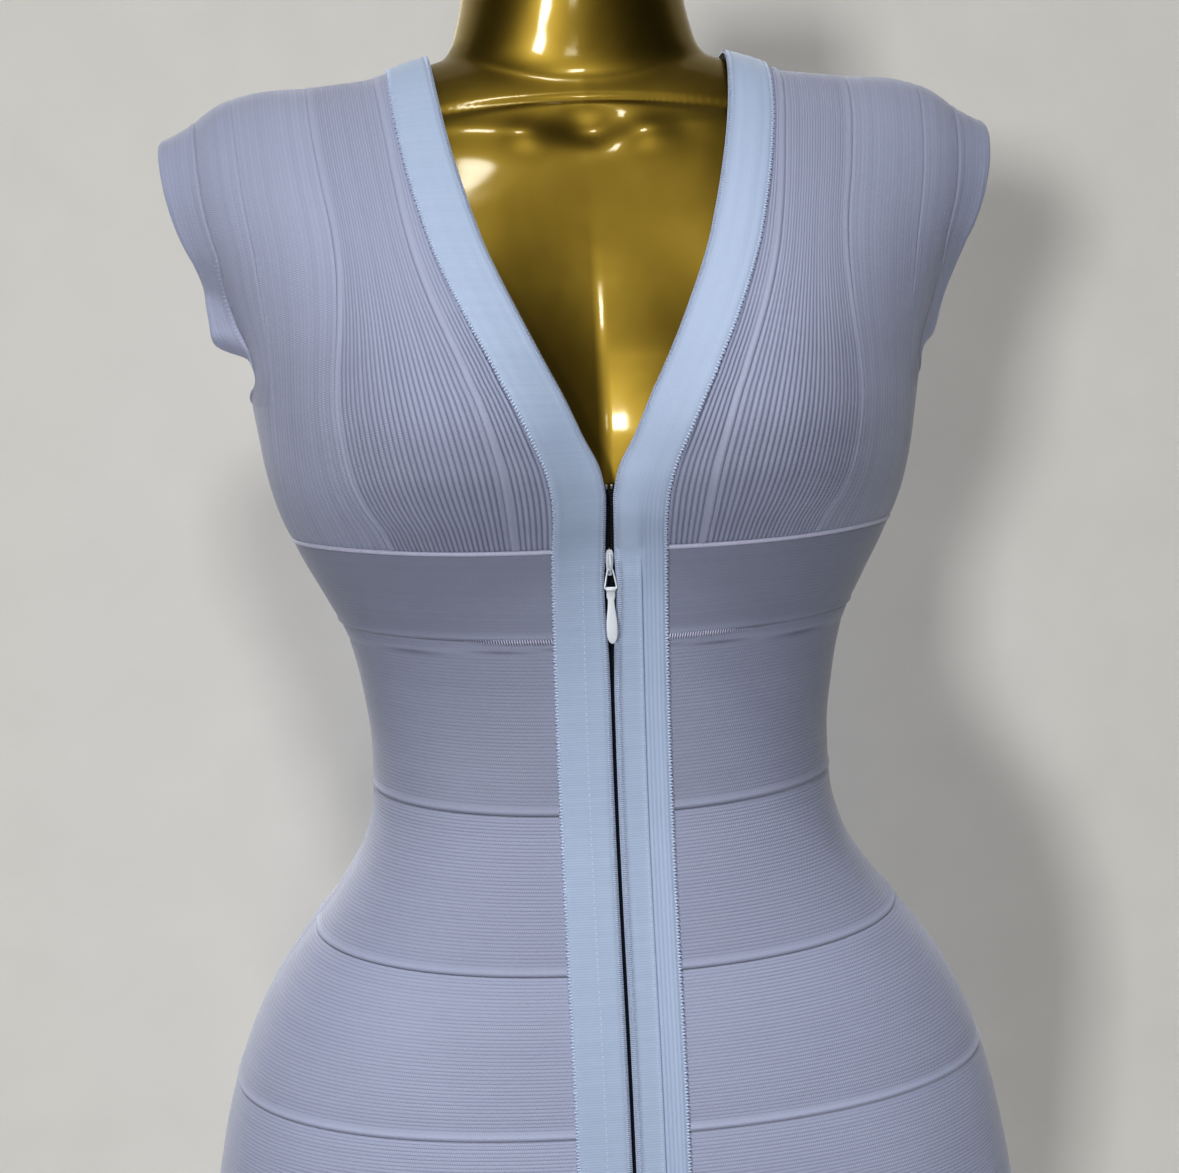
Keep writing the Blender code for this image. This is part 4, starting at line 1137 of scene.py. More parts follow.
        # Painted shade along the underbust seam.
        shade = shade + marks(low, self.foot_painted_shading)
        along = np.broadcast_to(lengths_along(points, 0)[:, cols // 2:cols // 2 + 1],
                                (rows, cols))
        return Skin(points, BODY.normals(points), outer, 0 * outer, ribs, along, shade,
                    ribbing=ribbing)

    def back_skin(self, points: Grid) -> Skin:
        """A plain back strip, its ribs across the body."""
        down, up, left, _ = to_edges(points)
        share = down / (down + up)
        outer = KNIT + self.plump * np.sin(math.pi * share) ** CROWN_POWER
        outer += MM * (marks(down, self.back_rise) + marks(up, self.back_rise))
        # Painted shade along the back strips' seams.
        shade = 1.0 + marks(down, self.back_painted_shade) + marks(up, self.back_painted_shade)
        count = round(float((down + up)[:, points.shape[1] // 3].mean()) / RIB_PITCH)
        return Skin(points, BODY.normals(points), outer, 0 * outer, share * count, left, shade)

    def back_low(self) -> Grid:
        """Points of the lowest back strip, underbust to underarm."""
        gap = SEAM_GAP / 2
        z = np.linspace(UNDERBUST + ROW_SEAMS[0].rise + gap, UNDERARM - gap, self.back_rows + 1)
        seam = np.degrees(gap / BODY.half_width(z))
        share = np.linspace(0, 1, self.back_columns + 1)
        return BODY.at_angle((90 + seam)[:, None] + (180 - 2 * seam)[:, None] * share, z[:, None])

    def back_mid(self) -> Grid:
        """Points of the middle back strip, between the armholes."""
        gap = SEAM_GAP / 2
        z = np.linspace(UNDERARM + gap, FAN_HEIGHT - gap, self.back_rows + 1)
        half = BODY.half_width(z)
        reach = np.arcsin(np.clip(line_at("side", z) / half, 0, 0.9999))
        share = np.linspace(-1, 1, self.back_columns + 1)
        xs = half[:, None] * np.sin(reach[:, None] * share[None])
        return BODY.at_reach(xs, z[:, None], 180.0)

    def back_yoke(self) -> Grid:
        """Points of the top back strip, up to the shoulder seam and neckline."""
        rows = self.back_rows + 14
        share = np.linspace(-1, 1, self.back_columns + 1)
        climb = np.linspace(0, 1, rows + 1)
        top = 180.0 - SEAM_TURN_END
        reach = line_at("side", FAN_HEIGHT + np.radians(climb * top) * FAN_RADIUS)
        xs = reach[:, None] * share[None]
        last = BackNeck().tuck_turn(xs)
        turns = 180.0 + (last - 180.0) * climb[:, None]
        return BODY.at_reach(xs, FAN_HEIGHT + SEAM_GAP / 2, turns)

    def build(self) -> None:
        """Make every strip of the bodice."""
        for cut in self.cuts:
            skin = self.front_skin(cut)
            for side, piece in both(skin):
                cloth(f"{cut.name}_knit_{side}", piece, Finish.KNIT,
                      [f"{cut.name}_{side}"], wales_across=False)
        for name in ("back_low", "back_mid", "back_yoke"):
            points = getattr(self, name)()
            cloth(name + "_knit", self.back_skin(points), Finish.KNIT, [name])


@dataclass
class BackNeck:
    """The neck band behind, between the shoulder seams."""

    inner_turn: float = 133.0
    outer_turn: float = 150.0
    power: float = 2.2
    tuck: float = 4.5
    seam_turn: float = 0.35
    lift: float = 0.6 * MM
    dip: float = 1.2 * MM
    rib_pitch: float = 1.2 * MM
    edge_rise: Marks = (Mark(-0.7, 0.0, 1.4),)
    # Painted shade along the band's edge.
    edge_painted_shading: Marks = (Mark(-0.1, 0.0, 1.0),)
    columns: int = 120
    rows: int = 14

    def turn(self, xs: Grid, middle: Grid, reach: Grid) -> Grid:
        """The neckline's turn at x, rising to the shoulder seam."""
        share = np.clip(np.abs(xs) / reach, 0, 1) ** self.power
        return middle + (SEAM_TURN_END - middle) * share

    def tuck_turn(self, xs: Grid) -> Grid:
        """Where the back's own edge lies under the band."""
        outer = STATIONS[-1].outer
        under = self.turn(xs, self.outer_turn, outer) - self.tuck
        plain = SEAM_TURN_END + self.seam_turn
        return np.maximum(plain, np.where(np.abs(xs) < outer, under, plain))

    def build(self) -> None:
        """Make the band."""
        inner, outer = STATIONS[-1].inner, STATIONS[-1].outer
        part = np.linspace(0, 1, self.rows + 1)[:, None]
        reach = outer + (inner - outer) * part
        middle = self.outer_turn + (self.inner_turn - self.outer_turn) * part
        xs = reach * np.linspace(-1, 1, self.columns + 1)[None]
        turns = self.turn(xs, middle, reach) + self.seam_turn
        points = BODY.at_reach(xs, FAN_HEIGHT, turns)
        down, up, left, _ = to_edges(points)
        lift = KNIT + LAYER_GAP + self.lift - self.dip * ease(part, 0.3, 1.0)
        lift = lift + 0 * xs
        outer_lift = lift + BAND_KNIT + MM * (marks(down, self.edge_rise)
                                              + marks(up, self.edge_rise))
        # The last value is painted shade along the band's lower edge.
        skin = Skin(points, BODY.normals(points), outer_lift, lift, left / self.rib_pitch, down,
                    1.0 + marks(down, self.edge_painted_shading))
        cloth("neck_band_back", skin, Finish.CROSS_BAND, ["back_neck_band"])


@dataclass
class FrontBands:
    """Neck band and front band in one strip a side, and the second layer."""

    columns: int = 18
    bodice_rows: int = 130
    skirt_rows: int = 300
    rib_pitch: float = 1.25 * MM
    long_rib_pitch: float = 2.0 * MM
    edge_rise: Marks = (Mark(-0.75, 0.0, 1.3), Mark(0.35, 2.6, 1.4))
    # Painted shade along the bands' edges, under the overlock loops by the free edge and beside
    # the second layer; a painted highlight on the layer's ridge.
    edge_painted_shading: Marks = (Mark(-0.10, 0.0, 0.7),)
    free_painted_shade: Marks = (Mark(-0.26, 1.6, 1.2),)
    layer_edge_painted_shading: Marks = (Mark(-0.22, 0.5, 0.8),)
    folds: tuple[Pair, ...] = ((0.34, 0.25 * MM), (0.68, 0.22 * MM))
    fold_width: float = 0.08
    fold_heights: Pair = (1.20, 1.28)
    cross_ribs: Pair = (0.55, 0.35)
    cross_rib_fade: float = 0.03
    long_rib_fade: Pair = (0.010, 0.045)
    long_rib_edge: float = 2.0 * MM
    long_ribs_least: float = 0.08
    layer_bulge: float = 0.5
    layer_bulge_edge: float = 0.8 * MM
    layer_rise: float = 0.035
    layer_columns: int = 10
    layer_out_rise: Marks = (Mark(0.35, 1.0, 0.9),)
    layer_free_rise: Marks = (Mark(-0.3, 0.0, 1.0),)
    layer_out_painted_highlight: Marks = (Mark(0.08, 1.0, 0.8),)

    def path(self) -> Grid:
        """The band's path, from the shoulder seam down to the hem."""
        over = np.linspace(PATH_TOP, UNDERBUST, self.bodice_rows + 1)
        below = np.linspace(UNDERBUST, HEM_HEIGHT + SEAM_GAP / 2, self.skirt_rows + 1)
        return np.concatenate([over, below[1:]])

    def edges(self, path: Grid) -> tuple[Grid, Grid]:
        """Distances of the band's free and outer edges from the middle."""
        gap = smooth(ZIP_GAP, "at", "value", path)
        low = path <= UNDERBUST
        inner = np.where(low, gap, np.maximum(line_at("inner", path), STATIONS[0].inner))
        outer = np.where(low, BAND_EDGE, line_at("outer", path))
        return inner, outer

    def build(self) -> None:
        """Make both bands and the right one's second layer."""
        path = self.path()
        inner, outer = self.edges(path)
        share = np.linspace(0, 1, self.columns + 1)
        xs = outer[:, None] + (inner - outer)[:, None] * share[None]
        points = on_path(xs, path[:, None])
        self.band("left", points * MIRROR, path)
        self.band("right", points, path)
        self.layer()

    def band(self, side: str, points: Grid, path: Grid) -> None:
        """One band, its free edge lying closer to the body above the zip."""
        down, _, out, free = to_edges(points)
        normals = BODY.normals(points)
        above = ease(path, NECK_DIP_START, NECK_DIP_END)[:, None]
        lift = KNIT + LAYER_GAP - NECK_EDGE_DIP * above * ease(out / (out + free), 0.25, 1.0)
        outer = lift + BAND_KNIT + MM * (marks(out, self.edge_rise)
                                         + marks(free, self.edge_rise))
        for place, height in self.folds:
            fold = bump_of(out / (out + free), place, self.fold_width)
            outer = outer + height * fold * ease(path, *self.fold_heights)[:, None]
        # Painted shade along both edges of the band.
        shade = 1.0 + marks(out, self.edge_painted_shading) + marks(free, self.edge_painted_shading)
        middle = self.columns // 2
        along = np.broadcast_to(down[:, middle:middle + 1], down.shape)
        if side == "left":
            # Painted shade under the overlock loops.
            shade = shade + marks(free, self.free_painted_shade)
            most, loss = self.cross_ribs
            fade = ease(path, UNDERBUST, UNDERBUST + self.cross_rib_fade)[:, None]
            ribbing = most - loss * fade + 0 * out
            skin = Skin(points, normals, outer, lift, along / self.rib_pitch, out, shade,
                        ribbing=ribbing)
            finish = Finish.CROSS_BAND
        else:
            fade = 1.0 - ease(path, UNDERBUST, UNDERBUST + self.layer_rise)[:, None]
            above_layer = (path > UNDERBUST)[:, None] * fade
            inside = ease(LAYER_EDGE - points[..., 0], 0.0, self.layer_bulge_edge)
            outer = outer + self.layer_bulge * LAYER_KNIT * inside * above_layer
            # Painted shadow on the band beside the second layer's edge.
            edge = marks(points[..., 0] - LAYER_EDGE, self.layer_edge_painted_shading)
            shade = shade + edge * above_layer
            shade = shade + marks(free, self.free_painted_shade) * (path > UNDERBUST)[:, None]
            start, stop = self.long_rib_fade
            low = 1.0 - ease(path, UNDERBUST + start, UNDERBUST + stop)[:, None]
            beside = ease(points[..., 0], LAYER_EDGE, LAYER_EDGE + self.long_rib_edge)
            ribbing = low * beside + self.long_ribs_least
            skin = Skin(points, normals, outer, lift, out / self.long_rib_pitch, along, shade,
                        ribbing=ribbing)
            finish = Finish.LONG_BAND
        cloth("band_front_" + side, skin, finish, ["front_band_" + side],
              wales_across=False)

    def layer(self) -> None:
        """The second layer beside the zip, with a ridge along its outer edge."""
        path = np.linspace(UNDERBUST - SEAM_GAP / 2, HEM_HEIGHT + SEAM_GAP / 2,
                           self.skirt_rows + 1)
        edge = smooth(ZIP_GAP, "at", "value", path) + LAYER_SET_BACK
        share = np.linspace(0, 1, self.layer_columns + 1)
        xs = LAYER_EDGE + (edge - LAYER_EDGE)[:, None] * share[None]
        points = BODY.at_reach(xs, path[:, None], 0.0)
        down, _, out, free = to_edges(points)
        tuck = 2 * LAYER_GAP + RIDGE_RISE + LAYER_KNIT
        lift = LAYER_LIFT - tuck * (1.0 - ease(down, 0.0, LAYER_TUCK)) + 0 * out
        outer = lift + LAYER_KNIT + MM * (marks(out, self.layer_out_rise)
                                          + marks(free, self.layer_free_rise))
        # Painted highlight on the layer's ridge and painted shade under its loops.
        shade = 1.0 + marks(out, self.layer_out_painted_highlight) + marks(free, self.free_painted_shade)
        skin = Skin(points, BODY.normals(points), outer, lift, down / self.rib_pitch, out, shade,
                    ribbing=0.55)
        cloth("placket_fold", skin, Finish.CROSS_BAND, ["placket_layer"],
              wales_across=False)


@dataclass
class CapSleeves:
    """One closed strip round each armhole, standing out as a cap."""

    around: int = 200
    across: int = 14
    flare: float = 0.25
    relief: float = 0.35
    lip_heights: Four = (1.2575, 1.2665, 1.270, 1.2925)
    lip_turn: float = 1.6
    lip_loss: float = 0.75
    lip_depths: Pair = (0.020, 0.034)
    lip_start: float = 6.0 * MM
    lip_curl: float = 15.0 * MM
    ladder_heights: Pair = (1.264, 1.306)
    ladder_start: float = 1.0 * MM
    ladder_pitch: float = 2.2 * MM
    ladder_size: Three = (2.8 * MM, 0.6 * MM, 0.5 * MM)
    ladder_lift: float = 0.1 * MM
    side: Three = (1.0, 0.0, 0.35)
    seam_rise: Marks = (Mark(0.35, 2.0, 1.2), Mark(-0.5, 0.0, 1.2))
    edge_rise: Marks = (Mark(0.3, 2.0, 1.0), Mark(-0.5, 0.0, 0.9))
    # Painted shade along the seam and a painted highlight by the free edge.
    seam_painted_shade: Marks = (Mark(-0.25, 0.0, 0.6),)
    edge_painted_shading: Marks = (Mark(0.06, 1.0, 1.0),)

    def loop(self) -> Grid:
        """The whole edge of the right armhole: up the front, down the back."""
        path = np.linspace(UNDERARM, PATH_TOP, LINE_STEPS)
        xs = line_at("side", path)
        xs[0] = BODY.half_width(np.array([UNDERARM]))[0] * 0.999999
        front = on_path(xs, path)
        climb = path[::-1]
        keep = turn_of(climb) <= 180.0 - SEAM_TURN_END
        behind = BODY.at_reach(line_at("side", climb[keep]), height_of(climb[keep]),
                               180.0 - turn_of(climb[keep]))
        closed = np.concatenate([front, behind[1:-1], front[:1]])
        length = run_of(closed)
        even = np.linspace(0, length[-1], self.around + 1)[:-1]
        return at_lengths(closed, length, even)

    def build(self) -> None:
        """Make both caps."""
        loop = self.loop()
        normals = BODY.normals(loop)
        eased = ring_eased(loop, 6)
        along = np.roll(eased, -1, axis=0) - np.roll(eased, 1, axis=0)
        outward = unit(np.cross(normals, along))
        outward = outward * np.sign(outward @ np.array(self.side))[:, None]
        for _ in range(10):
            outward = unit(ring_eased(outward, 1))
        heights = loop[:, 2]
        share = (heights - heights.min()) / (heights.max() - heights.min())
        reach = ring_eased(smooth(CAP_REACH, "at", "value", share), 4)
        for name, lip in (("right", 0.0), ("left", 1.0)):
            skin = self.skin(loop, normals, outward, reach, lip)
            if lip:
                self.ladder(skin)
                skin = mirrored(skin)
            cloth("cap_knit_" + name, skin, Finish.FINE_KNIT, ["cap_" + name],
                  wales_across=False)

    def skin(self, loop: Grid, normals: Grid, outward: Grid, reach: Grid, lip: float) -> Skin:
        """One cap's cloth.

        Args:
            loop: The armhole's edge.
            normals: The ways off the body along it.
            outward: The ways the strip leaves it.
            reach: The strip's width along it.
            lip: How far its lower front curls out, 0 to 1.

        Returns:
            The strip's skin, on the right side.
        """
        foot, top, start, stop = self.lip_heights
        fronts = ease(-loop[:, 1], *self.lip_depths) * lip
        curl = fronts * ease(loop[:, 2], foot, foot + self.lip_start) * (
            1.0 - ease(loop[:, 2], start, stop))
        keep = 1.0 - fronts * self.lip_loss * (1.0 - ease(loop[:, 2], foot, top))
        reach, curl = reach * ring_eased(keep, 3), ring_eased(curl, 3)
        side = np.array([1.0, 0.0, 0.0])
        outward = unit(outward + side * (self.lip_turn * curl)[:, None])
        flare = side * reach[:, None] * self.flare
        low = np.clip((start - loop[:, 2]) / (start - foot), 0, 1)
        flare = flare + np.array([0.0, 1.0, 0.0]) * (self.lip_curl * curl * low)[:, None]
        parts = np.linspace(0, 1, self.across + 1)
        first = outward * SEAM_GAP * 1.5
        rings = [loop + first * (1 - p) + outward * reach[:, None] * p + flare * p * p
                 for p in parts]
        points = np.stack(rings, axis=1)
        sheet = unit(np.cross(np.roll(points, -1, axis=0) - np.roll(points, 1, axis=0),
                              np.gradient(points, axis=1)))
        sheet = sheet * np.sign(np.sum(sheet * normals[:, None], axis=2))[..., None]
        sheet = unit(sheet * parts[None, :, None] + normals[:, None] * (1 - parts)[None, :, None])
        _, _, start, end = to_edges(points)
        outer = KNIT + MM * (marks(start, self.seam_rise) + marks(end, self.edge_rise))
        # Painted shade at the seam and a painted highlight by the free edge.
        shade = 1.0 + marks(start, self.seam_painted_shade) + marks(end, self.edge_painted_shading)
        length = np.cumsum(np.linalg.norm(np.roll(loop, -1, axis=0) - loop, axis=1))
        return Skin(points, sheet, outer, 0 * outer, start / RIB_PITCH,
                    np.broadcast_to(length[:, None], outer.shape), shade, closed=True,
                    ribbing=self.relief)

    def ladder(self, skin: Skin) -> None:
        """Pale stitches over the left cap's seam, low in front."""
        at, near, far = (skin.points[:, k] for k in (2, 1, 3))
        low, high = self.ladder_heights
        wanted = (at[:, 1] < -0.02) & (at[:, 2] > low) & (at[:, 2] < high)
        at, near, far, out = at[wanted], near[wanted], far[wanted], skin.normals[wanted, 2]
        length = run_of(at)
        parts = []
        for here in np.arange(self.ladder_start, length[-1], self.ladder_pitch):
            place, start, end, away = (at_lengths(line, length, here)
                                       for line in (at, near, far, out))
            parts.append(on_side(-1.0, bead(place + unit(away) * (KNIT + self.ladder_lift),
                                            unit(end - start), unit(away), self.ladder_size)))
        small_piece("cap_ladder", parts, Finish.PIPING)


# ------------------------------------------------------------------ small solids
def merged(name: str, parts: Iterable[tuple[Grid, Sequence]]) -> Mesh:
    """One mesh from many small lists of points and faces."""
    verts: list = []
    faces: list = []
    for points, polygons in parts:
        base = len(verts)
        verts.extend(points.tolist())
        faces.extend([[base + i for i in polygon] for polygon in polygons])
    return mesh_of(name, verts, faces)


def small_piece(name: str, parts: Iterable[tuple[Grid, Sequence]], finish: Finish,
                body: str = GARMENT) -> Object:
    """One piece made of small solids; the arguments are add_piece's own."""
    return add_piece(name, merged(name, parts), finish, body)


def on_side(sign: float, part: tuple[Grid, list]) -> tuple[Grid, list]:
    """A small solid of the right side, put on the side that the sign says."""
    points, faces = part
    return part if sign > 0 else (points * MIRROR, [face[::-1] for face in faces])


def ring_faces(rings: int, sides: int, closed: bool = False) -> list:
    """Faces of a skin over rings of points, capped, or closed from last to first."""
    faces = []
    for ring in range(rings if closed else rings - 1):
        a, b = ring * sides, (ring + 1) % rings * sides
        faces += [[a + k, a + (k + 1) % sides, b + (k + 1) % sides, b + k]
                  for k in range(sides)]
    if not closed:
        faces.append(list(range(sides))[::-1])
        faces.append([(rings - 1) * sides + k for k in range(sides)])
    return faces


def tube(path: Grid, side: Grid, radii: Pair, sides: int = 8,
         closed: bool = False) -> tuple[Grid, list]:
    """A round or flattened thread along a path.

    Args:
        path: Its middle points.
        side: A direction across it, one for all or one a point.
        radii: Half its size along side, and half its size the other way.
        sides: How many sides it has.
        closed: Whether it joins its own start.

    Returns:
        Points and faces.
    """
    if closed:
        ahead = unit(np.roll(path, -1, axis=0) - np.roll(path, 1, axis=0))
    else:
        ahead = unit(np.gradient(path, axis=0))
    side = np.broadcast_to(side, path.shape)
    side = unit(side - ahead * np.sum(side * ahead, axis=1, keepdims=True))
    third = np.cross(ahead, side)
    turns = np.linspace(0, 2 * math.pi, sides, endpoint=False)
    ring = (np.cos(turns)[None, :, None] * side[:, None] * radii[0]
            + np.sin(turns)[None, :, None] * third[:, None] * radii[1])
    points = (path[:, None] + ring).reshape(-1, 3)
    return points, ring_faces(len(path), sides, closed)


BEAD_SIDES = 6
BEAD_END = 0.45            # how thick a stitch is at its ends


def bead(centre: Grid, along: Grid, out: Grid, size: Three
         ) -> tuple[Grid, list]:
    """A small rounded stitch: its length, width and height about a point."""
    across = np.cross(out, along)
    length, width, height = (s / 2 for s in size)
    points = []
    for place, scale in ((-1.0, BEAD_END), (0.0, 1.0), (1.0, BEAD_END)):
        for turn in range(BEAD_SIDES):
            angle = turn * 2 * math.pi / BEAD_SIDES
            points.append(centre + along * length * place
                          + across * width * scale * math.cos(angle)
                          + out * height * scale * math.sin(angle))
    return np.array(points), ring_faces(3, BEAD_SIDES)


@dataclass
class Stitching:
    """Overlock loops along the bands' edges and rows of stitches through them."""

    loop_pitch: Pair = (0.95 * MM, 1.55 * MM)
    inner_loop: Three = (3.2 * MM, 0.52 * MM, 0.50 * MM)
    outer_loop: Three = (2.3 * MM, 1.05 * MM, 0.90 * MM)
    free_inset: float = 1.6 * MM
    outer_inset: float = 0.55 * MM
    free_depth: float = 1.06
    outer_depth: float = 0.85
    free_slant: float = 0.06
    outer_slant: float = 0.35
    stitch_pitch: float = 3.1 * MM
    stitch_size: Three = (1.7 * MM, 0.45 * MM, 0.35 * MM)
    stitch_place: float = 13.0 * MM
    layer_inset: float = 1.1 * MM
    piping_lift: float = 1.5 * MM
    piping_size: Pair = (0.95 * MM, 1.15 * MM)
    ladder_pitch: float = 1.25 * MM
    ladder_end: float = 0.070
    ladder_rise: float = 0.4 * MM
    ladder_lift: float = 1.25 * MM
    ladder_fade: float = 0.030
    ladder_least: float = 0.35
    ladder_slant: float = 0.25
    ladder_size: Three = (3.1 * MM, 1.0 * MM, 0.6 * MM)

    def line(self, path: Grid, xs: Grid, lift: float, pitch: float
             ) -> tuple[Grid, Grid, Grid]:
        """Evenly spaced places on the body along a line of x and path.

        Args:
            path: The line's path over the body.
            xs: Its distances from the middle.
            lift: How far it lies off the body.
            pitch: The spacing.

        Returns:
            The places, the directions along the line, and the ways out.
        """
        length = run_of(on_path(xs, path))
        even = np.arange(pitch / 2, length[-1], pitch)
        places = on_path(np.interp(even, length, xs), np.interp(even, length, path))
        out = BODY.normals(places)
        along = unit(np.gradient(places, axis=0))
        return places + out * lift, along, out

    def picot(self, side: float, edge: str) -> list:
        """Loops over one edge of one front band."""
        bands = FrontBands()
        path = bands.path()
        inner, outer = bands.edges(path)
        free = edge == "inner"
        xs = inner + self.free_inset if free else outer - self.outer_inset
        lift = KNIT + LAYER_GAP + (self.free_depth if free else self.outer_depth) * BAND_KNIT
        places, along, out = self.line(path, xs, 0.0, self.loop_pitch[0 if free else 1])
        size = self.inner_loop if free else self.outer_loop
        if free:
            above = ease(places[:, 2], NECK_DIP_START, NECK_DIP_END)
            lift = lift - NECK_EDGE_DIP * above
            if side > 0:
                on_layer = 1.0 - ease(places[:, 2], UNDERBUST - LAYER_TUCK, UNDERBUST)
                lift = lift + (LAYER_LIFT + LAYER_KNIT + 0.1 * MM - lift) * on_layer
        places = places + out * (lift + 0 * places[:, 2])[:, None]
        slant = self.free_slant if free else self.outer_slant
        parts = []
        for k, (place, ahead, away) in enumerate(zip(places, along, out)):
            lean = unit(np.cross(away, ahead) + ahead * (slant if k % 2 else -slant))
            parts.append(on_side(side, bead(place, lean, away, size)))
        return parts

    def stitches(self, name: str, side: float, reach: float, lift: float) -> None:
        """A row of running stitches down a front band, at a distance from the middle."""
        path = np.linspace(UNDERBUST - 6 * MM, HEM_HEIGHT + 4 * MM, LINE_STEPS)
        line = self.line(path, 0 * path + reach, lift, self.stitch_pitch)
        parts = [on_side(side, bead(*spot, self.stitch_size)) for spot in zip(*line)]
        small_piece(name, parts, Finish.THREAD)

    def build(self) -> None:
        """Make the loops and the stitches."""
        for side, sign in SIDES:
            for edge in ("inner", "outer"):
                small_piece(f"picot_{edge}_{side}", self.picot(sign, edge), Finish.THREAD)
        self.stitches("placket_stitches", -1.0, self.stitch_place,
                      KNIT + LAYER_GAP + BAND_KNIT + 0.02 * MM)
        self.stitches("layer_stitches", 1.0, LAYER_EDGE - self.layer_inset,
                      LAYER_LIFT + LAYER_KNIT + 0.2 * MM)
        self.piping()
        self.ladder()

    def piping(self) -> None:
        """The pale rolled edge round the body under the bust."""
        rows = StripRows()
        front = rows.front(0)[0]
        back = rows.back(0)[0]
        for name, edge in (("right", front), ("left", front * MIRROR), ("back", back)):
            out = BODY.normals(edge)
            roll = tube(edge + out * self.piping_lift, out, self.piping_size, 10)
            small_piece("underbust_piping_" + name, [roll], Finish.PIPING)

    def ladder(self) -> None:
        """Short bright stitches over the seam under the bust strip, by the placket."""
        edge = StripRows().front(1)[0]
        length = run_of(edge)
        places = at_lengths(edge, length, np.arange(0.0, length[-1], self.ladder_pitch))
        places = places[(places[:, 0] > BAND_EDGE) & (places[:, 0] < self.ladder_end)]
        places[:, 2] += self.ladder_rise
        out = BODY.normals(places)
        along = unit(np.gradient(places, axis=0))
        parts = []
        for place, ahead, away in zip(places + out * (KNIT + self.ladder_lift), along, out):
            share = min(1.0, self.ladder_least + (self.ladder_end - place[0]) / self.ladder_fade)
            stroke = bead(place, unit(np.cross(away, ahead) + self.ladder_slant * ahead), away,
                          tuple(share * size for size in self.ladder_size))
            parts += [stroke, on_side(-1.0, stroke)]
        small_piece("ladder_stitches", parts, Finish.PIPING)


